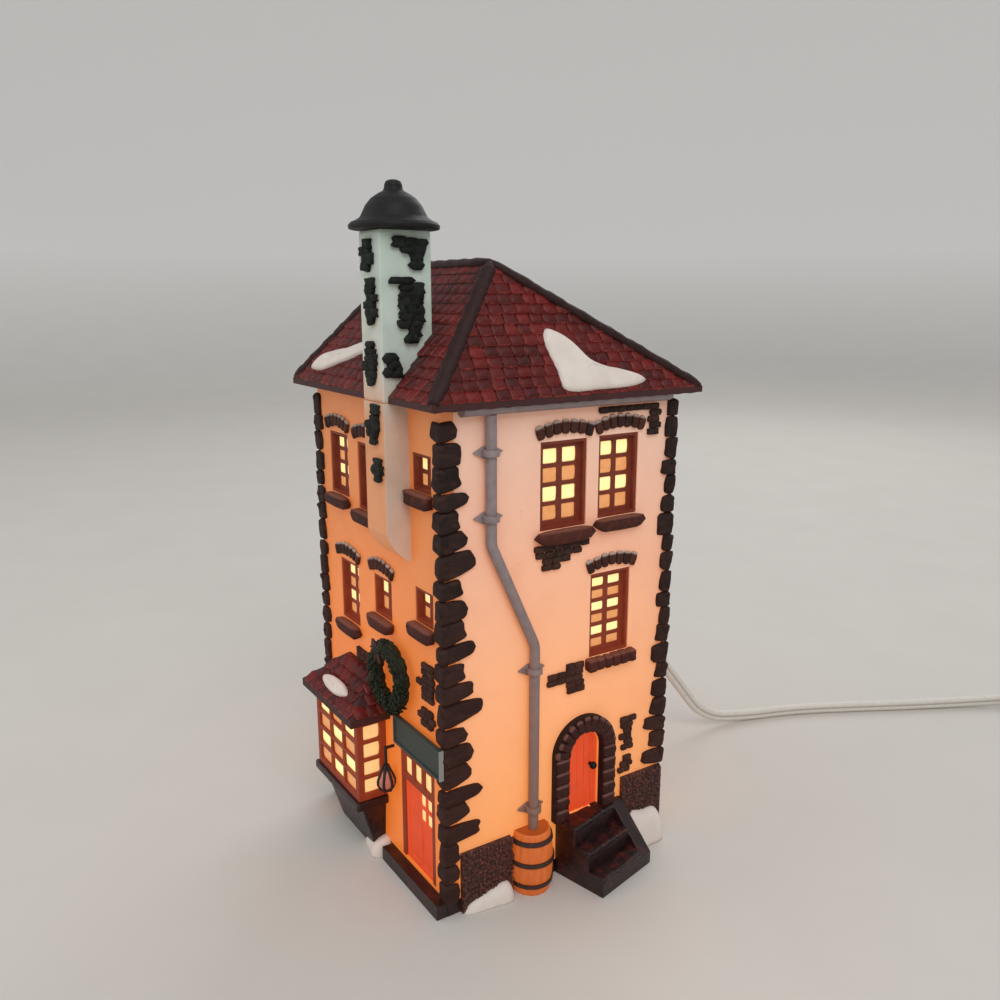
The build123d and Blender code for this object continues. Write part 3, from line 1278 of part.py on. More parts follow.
def switch_body():
    """A rounded shell with a slot for the thumb wheel, which turns on a pin across the slot."""
    shell = Pos(SWITCH_LENGTH / 2, 0, 0) * Box(SWITCH_LENGTH, SWITCH_WIDTH, 2 * switch_half)
    shell = fillet(shell.edges().filter_by(Axis.Z), SWITCH_ROUND)
    room = WHEEL_RADIUS + WHEEL_CLEARANCE
    slot_height = WHEEL_THICKNESS + 2 * WHEEL_CLEARANCE
    slot = Pos(SWITCH_LENGTH / 2, wheel_shift, 0) * Cylinder(room, slot_height)
    pin = Pos(SWITCH_LENGTH / 2, wheel_shift, 0) * Cylinder(WHEEL_PIN_RADIUS, slot_height)
    return tail_plane.location * (shell - slot + pin)


def switch_wheel():
    disc = Cylinder(WHEEL_RADIUS - WHEEL_TOOTH, WHEEL_THICKNESS)
    teeth = []
    for i in range(WHEEL_TEETH):
        tooth = Box(WHEEL_TOOTH * 1.6, WHEEL_TOOTH * 2, WHEEL_THICKNESS)
        tooth = Pos(WHEEL_RADIUS - WHEEL_TOOTH, 0, 0) * tooth
        teeth.append(Rot(0, 0, i * 360 / WHEEL_TEETH) * tooth)
    wheel = disc.fuse(*teeth) - Cylinder(WHEEL_PIN_RADIUS + WHEEL_PIN_FIT, WHEEL_THICKNESS)
    return tail_plane.location * Pos(SWITCH_LENGTH / 2, wheel_shift, 0) * wheel


def plug_blade(side):
    x0 = PLUG_LENGTH - BLADE_ROOT
    x1 = PLUG_LENGTH + BLADE_LENGTH
    y = side * BLADE_SPACING / 2
    half = BLADE_THICKNESS / 2
    return block(x0, x1, y - half, y + half, -BLADE_WIDTH / 2, BLADE_WIDTH / 2)


def plug_body():
    shell = Pos(PLUG_LENGTH / 2, 0, 0) * Box(PLUG_LENGTH, PLUG_WIDTH, 2 * switch_half)
    shell = fillet(shell.edges().filter_by(Axis.Z), PLUG_ROUND)
    return plug_plane.location * shell.cut(plug_blade(-1), plug_blade(1))


nodes["coil_tie"] = coil_tie()
nodes["switch_body"] = switch_body()
nodes["switch_wheel"] = switch_wheel()
nodes["plug_body"] = plug_body()
nodes["plug_blades"] = group(*[plug_plane.location * plug_blade(side) for side in (-1, 1)])

os.makedirs("parts", exist_ok=True)
for name, shape in nodes.items():
    export_step(shape, f"parts/{name}.step")
print(len(nodes), "nodes")
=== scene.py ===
# %% [markdown]
# # A lit porcelain village house
# The solid model of the house is already there, so this lesson dresses it: stones, tiles, snow, panes,
# a wreath and a lead are worked out with numpy and laid over the solids, and every surface gets a
# finish made of shader nodes. Nothing is moved: each piece is computed where it belongs, in metres.

# %% Load the solid model
import math

import bpy
import numpy as np
from mathutils import Matrix, Vector


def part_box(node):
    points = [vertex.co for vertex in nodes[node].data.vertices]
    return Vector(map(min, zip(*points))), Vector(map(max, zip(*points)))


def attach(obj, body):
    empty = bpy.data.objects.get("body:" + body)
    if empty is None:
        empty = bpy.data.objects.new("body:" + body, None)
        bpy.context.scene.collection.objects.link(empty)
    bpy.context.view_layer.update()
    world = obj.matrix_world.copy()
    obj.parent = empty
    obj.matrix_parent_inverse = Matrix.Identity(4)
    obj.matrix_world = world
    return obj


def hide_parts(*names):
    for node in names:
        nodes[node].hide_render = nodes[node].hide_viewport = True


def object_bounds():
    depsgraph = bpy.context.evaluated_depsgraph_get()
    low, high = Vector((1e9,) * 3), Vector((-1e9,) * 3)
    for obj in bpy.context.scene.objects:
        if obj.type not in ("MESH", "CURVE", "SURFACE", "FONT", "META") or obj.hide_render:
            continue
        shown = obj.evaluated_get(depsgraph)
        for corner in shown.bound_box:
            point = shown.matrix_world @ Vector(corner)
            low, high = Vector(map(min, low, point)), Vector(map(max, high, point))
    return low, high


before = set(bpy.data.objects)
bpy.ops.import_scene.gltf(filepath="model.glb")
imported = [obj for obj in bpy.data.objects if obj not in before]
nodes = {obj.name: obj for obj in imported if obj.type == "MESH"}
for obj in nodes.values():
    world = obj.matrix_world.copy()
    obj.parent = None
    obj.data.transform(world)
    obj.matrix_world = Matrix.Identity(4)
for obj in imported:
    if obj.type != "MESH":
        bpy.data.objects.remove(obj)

cad_low, cad_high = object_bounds()
MM = 0.001
SEED = 12
rng = np.random.default_rng(SEED)
scene = bpy.context.scene
scene.view_settings.view_transform = "Standard"
print("solid model", [round(h - l, 4) for l, h in zip(cad_low, cad_high)])

# %% [markdown]
# ## Camera
# The picture was taken from a little above the eaves, looking at the corner between the shop front and
# the side wall. A camera is a matrix: its columns are right, up and backwards. Writing them from the
# heading and the tilt keeps the view exact, where aiming by hand would drift.

# %% Camera
HEADING = math.radians(56.68)
TILT = math.radians(12.765)
EYE = Vector((0.2644, -0.1689, 0.1935))
LENS = 32.49
NEAREST = 0.01

right = Vector((math.cos(HEADING), math.sin(HEADING), 0))
level = Vector((-math.sin(HEADING), math.cos(HEADING), 0))
ahead = level * math.cos(TILT) - Vector((0, 0, math.sin(TILT)))
up = right.cross(ahead)
camera_data = bpy.data.cameras.new("camera")
camera_data.lens = LENS
camera_data.sensor_width = 36
camera_data.clip_start = NEAREST
camera = bpy.data.objects.new("camera", camera_data)
camera.matrix_world = Matrix(((*right, 0), (*up, 0), (*-ahead, 0), (*EYE, 1))).transposed()
scene.collection.objects.link(camera)
scene.camera = camera
print("camera at", tuple(EYE))

# %% [markdown]
# ## Meshes from arrays
# Almost every piece here is a grid of points with a formula behind it. Small helpers put such arrays
# into Blender: the faces of a grid that may close on itself, the fans that close the two ends of a tube,
# and a function that stores points and faces. Numbers for each point, such as a tint, become attributes
# that a material can read. The solid model's box is the size of the real thing, so points that would
# leave it by a fraction of a millimetre are set back on its side.


# %% Mesh helpers
def store(name, slot, points, quads, triangles=(), body="house", tints=None, hides=()):
    """A mesh object that rides on a body and hides the solids it stands for; its slot is not used."""
    points = np.clip(np.asarray(points, dtype=float).reshape(-1, 3), cad_low, cad_high)
    parts = [np.asarray(f, dtype=np.int32).reshape(-1, n) for f, n in ((quads, 4), (triangles, 3))]
    sizes = np.concatenate([np.full(len(p), p.shape[1]) for p in parts])
    corners = np.concatenate([p.ravel() for p in parts])
    mesh = bpy.data.meshes.new(name)
    mesh.vertices.add(len(points))
    mesh.vertices.foreach_set("co", points.astype(np.float32).ravel())
    mesh.loops.add(len(corners))
    mesh.loops.foreach_set("vertex_index", corners)
    mesh.polygons.add(len(sizes))
    mesh.polygons.foreach_set("loop_start", np.concatenate([[0], np.cumsum(sizes)[:-1]]))
    mesh.polygons.foreach_set("use_smooth", np.ones(len(sizes), dtype=bool))
    mesh.update(calc_edges=True)
    for key, values in (tints or {}).items():
        layer = mesh.attributes.new(key, "FLOAT", "POINT")
        layer.data.foreach_set("value", np.ascontiguousarray(values, dtype=np.float32).ravel())
    mesh.validate()
    made = bpy.data.objects.new(name, mesh)
    scene.collection.objects.link(made)
    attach(made, body)
    if hides:
        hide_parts(*hides)
    return made


def grid_faces(rows, columns, close_rows=False):
    """Quads of a grid of points numbered row by row; its columns close on themselves, its rows may."""
    r = np.arange(rows if close_rows else rows - 1)[:, None]
    c = np.arange(columns)[None, :]
    r2, c2 = (r + 1) % rows, (c + 1) % columns
    quads = [r * columns + c, r * columns + c2, r2 * columns + c2, r2 * columns + c]
    return np.stack(quads, axis=-1).reshape(-1, 4)


def end_fans(rows, columns):
    """Triangles from two middle points, stored after the grid, to its first and last ring."""
    first = np.arange(columns)
    after = (first + 1) % columns
    last = (rows - 1) * columns
    middle = np.full_like(first, rows * columns)
    low = np.stack([middle, after, first], axis=-1)
    high = np.stack([middle + 1, last + first, last + after], axis=-1)
    return np.concatenate([low, high])


def closed_rings(rings, ends=None):
    """Points, quads and fans of a row of rings, closed at two given ends or in the end rings' middles."""
    rows, columns = rings.shape[:2]
    ends = rings[[0, -1]].mean(axis=1) if ends is None else ends
    points = np.concatenate([rings.reshape(-1, 3), ends])
    return points, grid_faces(rows, columns), end_fans(rows, columns)


def unit(v):
    """Vectors made one long."""
    v = np.asarray(v, dtype=float)
    return v / np.linalg.norm(v, axis=-1, keepdims=True)


def around(count):
    """Angles round a circle."""
    return np.linspace(0, 2 * np.pi, count, endpoint=False)


def spokes(angle, first, second):
    """Directions that lie at an angle from a first direction towards a second one."""
    return np.cos(angle)[..., None] * first + np.sin(angle)[..., None] * second


def upright_rings(radius, height, count):
    """Rings round the upright axis: a radius for each ring or for each of its points, and a height."""
    r, z, a = np.broadcast_arrays(radius, height[:, None], around(count))
    return np.stack([r * np.cos(a), r * np.sin(a), z], axis=-1)


def pairs(slow, fast):
    """Every pair of two runs of numbers, as two flat arrays."""
    return [v.ravel() for v in np.meshgrid(slow, fast, indexing="ij")]


def alike(count, *directions):
    """The same three directions for each of many lumps."""
    return np.broadcast_to(directions, (count, 3, 3))


def count_faces(*made):
    """The faces of some objects together."""
    return sum(len(o.data.polygons) for o in made)


def join(parts):
    """Several (points, quads, triangles) as one, with the point numbers shifted."""
    shift = np.cumsum([0] + [len(part[0]) for part in parts[:-1]])
    points = np.concatenate([part[0] for part in parts])
    quads, triangles = [np.concatenate([p[k] + s for p, s in zip(parts, shift)]) for k in (1, 2)]
    return points, quads, triangles


def tube(line, section, lift=(0, 0, 1.0), scale=None, closed=False):
    """A section, given as (side, rise) pairs, carried along a line; the side is square to line and lift."""
    line = np.asarray(line, dtype=float)
    steps = np.roll(line, -1, axis=0) - np.roll(line, 1, axis=0) if closed else np.gradient(line, axis=0)
    forward = unit(steps)
    side = unit(np.cross(forward, lift))
    rise = np.cross(side, forward)
    section = np.asarray(section)
    scale = np.ones(len(line)) if scale is None else np.asarray(scale)
    spread = section[None] * scale[:, None, None]
    rings = line[:, None] + side[:, None] * spread[..., :1] + rise[:, None] * spread[..., 1:]
    if closed:
        quads = grid_faces(len(line), len(section), close_rows=True)[:, ::-1]
        return rings.reshape(-1, 3), quads, np.zeros((0, 3), dtype=int)
    points, quads, fans = closed_rings(rings, line[[0, -1]])
    return points, quads[:, ::-1], fans[:, ::-1]


def oval(wide, tall, count):
    """Points of an ellipse, by angle."""
    a = around(count)
    return np.stack([wide * np.cos(a), tall * np.sin(a)], axis=-1)


# %% [markdown]
# ## The lead
# A flat twin lead leaves the lamp at the back, droops to the table and runs out of the picture, where
# the rest is coiled up and tied. Its line is one smooth spline: a handful of listed points for the
# loose stretch, and a formula for the coil. A curve with a round bevel would give a round cable, so the
# twin section, two lobes with a groove between, is carried along the spline's own points instead.

# %% Route of the lead
LEAD_ROUTE = [
    (-4.0, 67.3, 46.0),
    (-4.0, 85.0, 46.0),
    (-4.5, 102.0, 26.0),
    (-3.0, 117.5, 6.0),
    (2.0, 139.0, 2.5),
    (10.0, 163.0, 2.5),
    (22.5, 187.0, 2.5),
    (36.5, 212.0, 2.5),
    (51.0, 239.0, 2.8),
    (63.5, 259.5, 3.9),
]
COIL_MIDDLE = (112.0, 266.0)
COIL_INNER = 16.6
COIL_PITCH = 5.7
COIL_TURNS = 4
COIL_LOW = 3.9
COIL_ENTRY = 151.0
LAST_TURN_SHORT = 29.0 / 360.0
POINTS_A_TURN = 24


def coil_points(turns):
    """The coil: a radius that shrinks and grows steadily with the turn, and a climb where it reverses."""
    swing = turns - COIL_TURNS - 0.25
    radius = COIL_INNER - COIL_PITCH / 4 + COIL_PITCH * np.abs(swing)
    climb = np.clip((turns - COIL_TURNS) / 0.5, 0, 1)
    angle = math.radians(COIL_ENTRY) - 2 * math.pi * turns
    x = COIL_MIDDLE[0] + radius * np.cos(angle)
    y = COIL_MIDDLE[1] + radius * np.sin(angle)
    z = COIL_LOW + COIL_PITCH * (1 - np.cos(math.pi * climb)) / 2
    return np.stack([x, y, z], axis=-1)


whole_turns = 2 * COIL_TURNS + 0.5 - LAST_TURN_SHORT
coil = coil_points(np.linspace(0, whole_turns, int(whole_turns * POINTS_A_TURN)))
plug_low, plug_high = [np.array(v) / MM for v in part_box("plug_body")]
end_point = np.array([(plug_low[0] + plug_high[0]) / 2, plug_high[1], coil[-1, 2]])
tail = coil[-1] + (end_point - coil[-1]) * np.linspace(0.2, 1, 5)[:, None]
route = np.concatenate([np.array(LEAD_ROUTE), coil, tail]) * MM

lead_line = bpy.data.curves.new("lead_line", "CURVE")
lead_line.dimensions = "3D"
lead_line.resolution_u = 6
spline = lead_line.splines.new("NURBS")
spline.points.add(len(route) - 1)
spline.points.foreach_set("co", np.column_stack([route, np.ones(len(route))]).ravel())
spline.order_u = 3
spline.use_endpoint_u = True
line_object = bpy.data.objects.new("lead_line", lead_line)
scene.collection.objects.link(line_object)
bpy.context.view_layer.update()
line_mesh = bpy.data.meshes.new_from_object(line_object.evaluated_get(bpy.context.evaluated_depsgraph_get()))
lead_points = np.zeros(len(line_mesh.vertices) * 3)
line_mesh.vertices.foreach_get("co", lead_points)
lead_points = lead_points.reshape(-1, 3)
bpy.data.objects.remove(line_object)

# %% Twin section along the lead
LOBE = 1.45 * MM
LOBE_SHIFT = 1.05 * MM
SECTION_POINTS = 20


def twin_section():
    """Two lobes, one above the other: at each angle, the reach of the nearer lobe."""
    a = around(SECTION_POINTS)
    reach = np.abs(np.sin(a)) * LOBE_SHIFT + np.sqrt(LOBE ** 2 - (LOBE_SHIFT * np.cos(a)) ** 2)
    return np.stack([reach * np.cos(a), reach * np.sin(a)], axis=-1), np.abs(np.sin(a))


section, groove = twin_section()
lead = store(
    "twin_lead",
    "white_lead",
    *tube(lead_points, section),
    body="lamp",
    tints={"groove": np.concatenate([np.tile(groove, len(lead_points)), [1, 1]])},
    hides=("cord", "cord_coil"),
)
print("lead mesh", len(lead.data.polygons), "faces")

# %% [markdown]
# ## Shader maths in Python
# A finish is a graph of nodes. Written as nodes it is long; written as expressions it reads like the
# thing it describes. One small class wraps a socket so that + - * / add Math nodes, and a paint class
# makes the material, sets any node's values and reaches the main shader's sockets by name. Most
# finishes are then one call: two tones, a gloss and a bump that all follow one fine grain.


# %% Paint helpers
class Shade:
    """A number on a surface. Arithmetic on it adds Math nodes."""

    def __init__(self, paint, socket):
        self.paint = paint
        self.socket = socket

    def _math(self, operation, a, b=0.0):
        node = self.paint.add("ShaderNodeMath", {"operation": operation}, {0: a, 1: b})
        return Shade(self.paint, node.outputs[0])

    def __add__(self, other):
        return self._math("ADD", self, other)

    __radd__ = __add__

    def __mul__(self, other):
        return self._math("MULTIPLY", self, other)

    __rmul__ = __mul__

    def __sub__(self, other):
        return self._math("SUBTRACT", self, other)

    def __rsub__(self, other):
        return self._math("SUBTRACT", other, self)

    def __truediv__(self, other):
        return self._math("DIVIDE", self, other)

    def clamp(self):
        return self._math("MINIMUM", self._math("MAXIMUM", self, 0.0), 1.0)


class Paint:
    """One material, with the sockets of its main shader set by name."""

    def __init__(self, name):
        self.material = bpy.data.materials.new(name)
        self.material.use_nodes = True
        self.tree = self.material.node_tree
        self.shader = self.tree.nodes["Principled BSDF"]
        self.place = Shade(self, self.add("ShaderNodeTexCoord").outputs["Object"])

    def add(self, kind, settings=None, values=None):
        """A node of any kind: its settings first, then the values or links of its sockets."""
        node = self.tree.nodes.new(kind)
        for key, value in (settings or {}).items():
            if key == "stops":
                ramp = node.color_ramp
                while len(ramp.elements) < len(value):
                    ramp.elements.new(0.5)
                for element, (position, shown) in zip(ramp.elements, value):
                    element.position = position
                    element.color = (*shown, 1)
            else:
                setattr(node, key, value)
        for key, value in (values or {}).items():
            self.put(node.inputs[key], value)
        return node

    def put(self, socket, value):
        """A link, a colour or a number into a socket."""
        if isinstance(value, Shade):
            self.tree.links.new(value.socket, socket)
        elif socket.type == "RGBA":
            socket.default_value = (*value, 1)
        else:
            socket.default_value = value

    def set(self, **values):
        for key, value in values.items():
            self.put(self.shader.inputs[key.replace("_", " ")], value)
        return self

    def noise(self, size_mm, detail=3.0, roughness=0.55, stretch=(1, 1, 1)):
        """A cloudy pattern whose patches are about size_mm across."""
        mapped = self.add("ShaderNodeMapping", {}, {"Vector": self.place, "Scale": stretch})
        node = self.add("ShaderNodeTexNoise", {}, {
            "Vector": Shade(self, mapped.outputs[0]),
            "Scale": 1 / (size_mm * MM),
            "Detail": detail,
            "Roughness": roughness,
        })
        return Shade(self, node.outputs["Fac"])

    def attribute(self, name):
        return Shade(self, self.add("ShaderNodeAttribute", {"attribute_name": name}).outputs["Fac"])

    def axis(self, name):
        """The height or another coordinate, in metres."""
        return Shade(self, self.add("ShaderNodeSeparateXYZ", {}, {0: self.place}).outputs[name])

    def mix(self, factor, a, b):
        node = self.add("ShaderNodeMix", {"data_type": "RGBA"}, {0: factor, 6: a, 7: b})
        return Shade(self, node.outputs[2])

    def over(self, factor, shown):
        """Lays a colour over the tone so far, by a factor."""
        shown = color(shown) if isinstance(shown, str) else shown
        self.tone = self.mix(factor, self.tone, shown)
        return self.set(Base_Color=self.tone)

    def bump(self, height, strength, depth_mm):
        values = {"Height": height, "Strength": strength, "Distance": depth_mm * MM}
        return self.set(Normal=Shade(self, self.add("ShaderNodeBump", {}, values).outputs[0]))

    def glow(self, strength, near, middle, far, reach_mm=165.0, unlit=None):
        """Painted light from the bulb: an emission whose colour falls with the distance from the bulb."""
        values = {0: self.place, 1: tuple(v * MM for v in BULB)}
        node = self.add("ShaderNodeVectorMath", {"operation": "DISTANCE"}, values)
        nearness = (1 - Shade(self, node.outputs["Value"]) / (reach_mm * MM)).clamp()
        stops = (0.0, color(far)), (0.42, color(middle)), (0.74, color(near))
        lit = Shade(self, self.add("ShaderNodeValToRGB", {"stops": stops}, {0: nearness}).outputs[0])
        if unlit:
            lit = self.mix(unlit, lit, color("000000"))
        return self.set(Emission_Color=lit, Emission_Strength=strength)

    def wear(self, *objects):
        """Puts the material on these objects or solids, in the place of any other."""
        for made in objects:
            made = nodes[made] if isinstance(made, str) else made
            made.data.materials.clear()
            made.data.materials.append(self.material)


def color(code):
    """A colour written as six hex digits, as the linear values that shaders use."""
    parts = [int(code[i:i + 2], 16) / 255 for i in (0, 2, 4)]
    return tuple(p / 12.92 if p <= 0.04045 else ((p + 0.055) / 1.055) ** 2.4 for p in parts)


def finish(name, pattern, dark, light, gloss, bump=None, by=None, **shader):
    """A paint whose gloss and bump follow a fine grain; a light tone lies over a dark one, by the grain
    or by an attribute."""
    paint = Paint(name)
    paint.grain = paint.noise(*pattern)
    paint.tone = color(dark)
    paint.set(Roughness=gloss[0] + gloss[1] * paint.grain, **shader)
    if light:
        paint.over(paint.attribute(by) if by else paint.grain, light)
    return paint.bump(paint.grain, *bump) if bump else paint


BULB = (-4.0, -4.0, 40.0)
MATT = {"Specular_IOR_Level": 0.25}
GLAZED = {"Specular_IOR_Level": 0.3}
METAL = {"Metallic": 1.0}
print(len(nodes), "solids to paint")

# %% [markdown]
# ## Glow from within
# The bulb lights the thin porcelain from behind, most strongly where a wall is near it. That can be
# rendered by letting light through the walls, which is slow and noisy, or written down: an emission
# whose colour falls with the distance from the bulb. The second bakes well, so it is used here. The shop
# front is thinner and glows a deeper orange than the other walls. The base colours hold painted light as
# well: the plaster turns warmer towards the ground, a painted glow, and the shop front wears the same
# plaster painted darker and more orange, painted shade and glow.

# %% Plaster walls
GLOW_PAINTED_BELOW = 150 * MM


def plaster(name, high, low, stain):
    """Cream with cloudy stains and specks, and a painted glow that makes it warmer towards the ground."""
    paint = finish(name, (1.6, 5), high, None, (0.4, 0.2))
    patchy = paint.noise(14, 4)
    # Painted glow: the colour warms towards the ground, standing in for the light from within.
    paint.over((1 - paint.axis("Z") / GLOW_PAINTED_BELOW).clamp(), low)
    paint.over((patchy - 0.5).clamp() * 0.9, stain)
    paint.over(((paint.noise(3.2, 2) - 0.7) * 12).clamp() * 0.3, "8A6048")
    return paint.bump(paint.grain * 0.4 + patchy, 0.3, 0.5)


side_plaster = plaster("side_plaster", "E9CBB8", "E39A5A", "C4926E")
side_plaster.glow(0.46, "FF9028", "BE5818", "32160A").wear("side_door_wall", "back_wall", "far_side_wall")
# Painted shade and glow: the shop front is the same plaster with a darker, deeper orange base colour.
shop_plaster_painted_glow = plaster("shop_plaster_painted_glow", "C68C5C", "CB783C", "A4642E")
shop_plaster_painted_glow.glow(0.5, "FF7A1E", "C85A16", "7A3210").wear("shop_front_wall")
print("walls painted: 4")

# %% [markdown]
# ## Reading the solids
# Stones, bricks and panes all sit where the solid model has a plain block. Each such node holds many
# loose blocks, so this helper merges equal corners, spreads labels through the triangles until every
# block has one label, and returns the corners of each block.

# %% Blocks of a node
MICRON = 1e-6
STACK_FACE = 0.2 * MM


def blocks_of(name):
    """The corner points of each separate block in a node, sorted by place."""
    mesh = nodes[name].data
    points = np.zeros(len(mesh.vertices) * 3)
    mesh.vertices.foreach_get("co", points)
    keys = np.round(points.reshape(-1, 3) / MICRON).astype(np.int64)
    corners, where = np.unique(keys, axis=0, return_inverse=True)
    mesh.calc_loop_triangles()
    triangles = np.zeros(len(mesh.loop_triangles) * 3, dtype=np.int32)
    mesh.loop_triangles.foreach_get("vertices", triangles)
    triangles = where.ravel()[triangles].reshape(-1, 3)
    labels = np.arange(len(corners))
    while True:
        least = labels[triangles].min(axis=1)
        spread = labels.copy()
        for k in range(3):
            np.minimum.at(spread, triangles[:, k], least)
        if np.array_equal(spread, labels):
            break
        labels = spread
    blocks = [corners[labels == label] * MICRON for label in np.unique(labels)]
    return sorted(blocks, key=lambda b: tuple(np.round(b.mean(axis=0), 4)))


def node_box(name):
    """The low and the high corner of a node."""
    return [np.array(v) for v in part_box(name)]


half_width, half_depth = node_box("base_plate")[1][:2]
wall_top = node_box("side_door_wall")[1][2]
stack_low, stack_high = node_box("chimney_stack")
OUT_SIDE = np.array([1.0, 0.0, 0.0])
OUT_SHOP = np.array([0.0, -1.0, 0.0])
UPWARD = np.array([0.0, 0.0, 1.0])


def off_wall(middle):
    """The direction out of the wall that a point belongs to."""
    x, y = middle[0], middle[1]
    if abs(x) / half_width > abs(y) / half_depth:
        return OUT_SIDE * np.sign(x)
    return -OUT_SHOP * np.sign(y)


def off_stack(middle):
    """The direction out of the chimney's side or front."""
    return OUT_SIDE if middle[0] > stack_high[0] - STACK_FACE else OUT_SHOP


def block_frames(blocks, facing):
    """Middle, three directions (along, up, out of the wall) and half sizes of each block on a wall."""
    found = []
    for block in blocks:
        middle = (block.min(axis=0) + block.max(axis=0)) / 2
        out = facing(middle)
        flat = (block - middle) - np.outer((block - middle) @ out, out)
        turn = np.linalg.eigh(flat.T @ flat)[1][:, 1:]
        rise = turn[:, np.abs(turn[2]).argmax()]
        rise = rise * np.sign(rise[2])
        directions = np.array([np.cross(rise, out), rise, out])
        found.append((middle, directions, np.abs((block - middle) @ directions.T).max(axis=0)))
    return [np.array(part) for part in zip(*found)]


print("walls", round(2 * half_width, 4), "by", round(2 * half_depth, 4), "by", round(wall_top, 4))

# %% [markdown]
# ## Rounded stones
# Hand-carved stones are neither boxes nor balls. A superellipsoid lies between: raise the cosine and
# sine of a sphere to a small power and it squares up. Hundreds of them are made in one array, each with
# its own place, directions and size, and a little smooth wobble so that no two are alike.


# %% Many lumps at once
def lumps(name, slot, middles, axes, halves, power=0.4, wobble=0.08, sides=12, rings=5, taper=0.0, **stored):
    """Superellipsoids: a ball's cosines and sines raised to a power, scaled, wobbled and placed."""
    count = len(middles)
    a = around(sides)[None, :]
    b = np.linspace(-np.pi / 2, np.pi / 2, rings + 1)[1:-1, None]

    def soft(value):
        return np.sign(value) * np.abs(value) ** power

    wide = soft(np.cos(b))
    tall = soft(np.sin(b)) * np.ones_like(a)
    ball = np.stack([wide * soft(np.cos(a)), wide * soft(np.sin(a)), tall], axis=-1)
    ball = np.concatenate([ball.reshape(-1, 3), [-UPWARD, UPWARD]])
    phase = rng.uniform(0, 2 * np.pi, (count, 1, 3))
    pace = rng.uniform(1.2, 2.6, (count, 1, 3))
    shaped = ball[None] * (1 + wobble * np.sin(ball[None, :, [1, 2, 0]] * pace * 2 + phase))
    shaped[:, :, 1] *= 1 - np.reshape(taper, (-1, 1)) * (0.5 + 0.5 * ball[None, :, 0]) ** 2
    shaped = shaped * np.asarray(halves)[:, None, :]
    points = np.asarray(middles)[:, None] + np.einsum("nik,nkj->nij", shaped, np.asarray(axes))
    per = len(ball)
    shift = (np.arange(count) * per)[:, None, None]
    faces = [part[None] + shift for part in (grid_faces(rings - 1, sides), end_fans(rings - 1, sides))]
    tints = {
        "shade": np.repeat(rng.uniform(0, 1, count), per),
        "low": np.tile(0.5 - 0.5 * ball[:, 1], count),
        "rim": np.tile(np.abs(ball[:, :2]).max(axis=1), count),
    }
    return store(name, slot, points, *faces, tints=tints, **stored)


def stones_for(node, name, slot, grow_mm, power=0.35, wobble=0.08, facing=off_wall):
    """Rounded stones in the place of a node's plain blocks, a little larger than each block."""
    middles, axes, halves = block_frames(blocks_of(node), facing)
    return lumps(name, slot, middles, axes, halves + grow_mm * MM, power, wobble, hides=(node,))


lintels = stones_for("window_lintels", "lintel_stones", "dark_stone", 0.1, 0.5)
sills = stones_for("window_sills", "sill_stones", "dark_stone", 0.3, 0.45, 0.09)
bricks = stones_for("wall_stone_patches", "wall_bricks", "dark_stone", 0.14)
chimney_bricks = stones_for(
    "chimney_stone_patches", "chimney_bricks", "black_glaze", 0.5, 0.36, 0.26, off_stack,
)
print("stones:", count_faces(lintels, sills, bricks, chimney_bricks), "faces")

# %% [markdown]
# ## Corner stones
# The stones at the corners are long tongues: square at the edge of the house, thinner and rounded at
# the far end, and tipped up a little. Each solid one is bent round its corner, so its box gives two
# legs, one on each wall, and each leg becomes a lump that tapers away from the corner.

# %% Tongues at the corners
TONGUE_POINTED = 14.0 * MM
TONGUE_BLUNT = 4.0 * MM
TONGUE_TAPER = 0.5
TONGUE_PROUD = 1.4 * MM
TONGUE_GROW = 0.3 * MM
TONGUE_TILTS = (0.02, 0.2)
TAPER_SPREAD = (-0.05, 0.2)
TONGUE_ROOT = 2 * MM


def tongue_frames(node):
    """Two legs for every corner stone: its run along a wall, up, and out of the wall."""
    found = []
    for block in blocks_of(node):
        low, high = block.min(axis=0), block.max(axis=0)
        sx, sy = np.sign(low + high)[:2]
        cornerwise = np.abs(block[:, 0] + block[:, 1] * sx * sy)
        root = block[cornerwise > half_width + half_depth - TONGUE_ROOT, 2]
        z = (root.min() + root.max()) / 2
        height = (root.max() - root.min()) / 2
        corner = np.array([sx * half_width, sy * half_depth, z])
        y_end = np.array([corner[0], low[1] if sy > 0 else high[1], z])
        x_end = np.array([low[0] if sx > 0 else high[0], corner[1], z])
        tilt = rng.uniform(*TONGUE_TILTS)
        for out, end in ((OUT_SIDE * sx, y_end), (-OUT_SHOP * sy, x_end)):
            run = unit(end - corner)
            along = unit(run + UPWARD * tilt)
            length = np.linalg.norm(end - corner) + TONGUE_PROUD
            middle = corner - run * TONGUE_PROUD + along * length / 2
            half = [length / 2, height + TONGUE_GROW, TONGUE_PROUD]
            found.append((middle, [along, np.cross(out, along), out], half))
    return [np.array(part) for part in zip(*found)]


tongues = []
for place in ("near_corner", "right_back", "far_side"):
    node = "quoins_" + place
    frames = tongue_frames(node)
    pointed = np.clip((2 * frames[2][:, 0] - TONGUE_BLUNT) / TONGUE_POINTED, 0.1, 1)
    taper = TONGUE_TAPER * pointed + rng.uniform(*TAPER_SPREAD, len(pointed))
    form = {"power": 0.34, "wobble": 0.09, "sides": 16, "rings": 8, "taper": taper}
    tongues.append(lumps("corner_stones_" + place, "dark_stone", *frames, **form, hides=(node,)))
print("corner stones:", count_faces(*tongues), "faces")


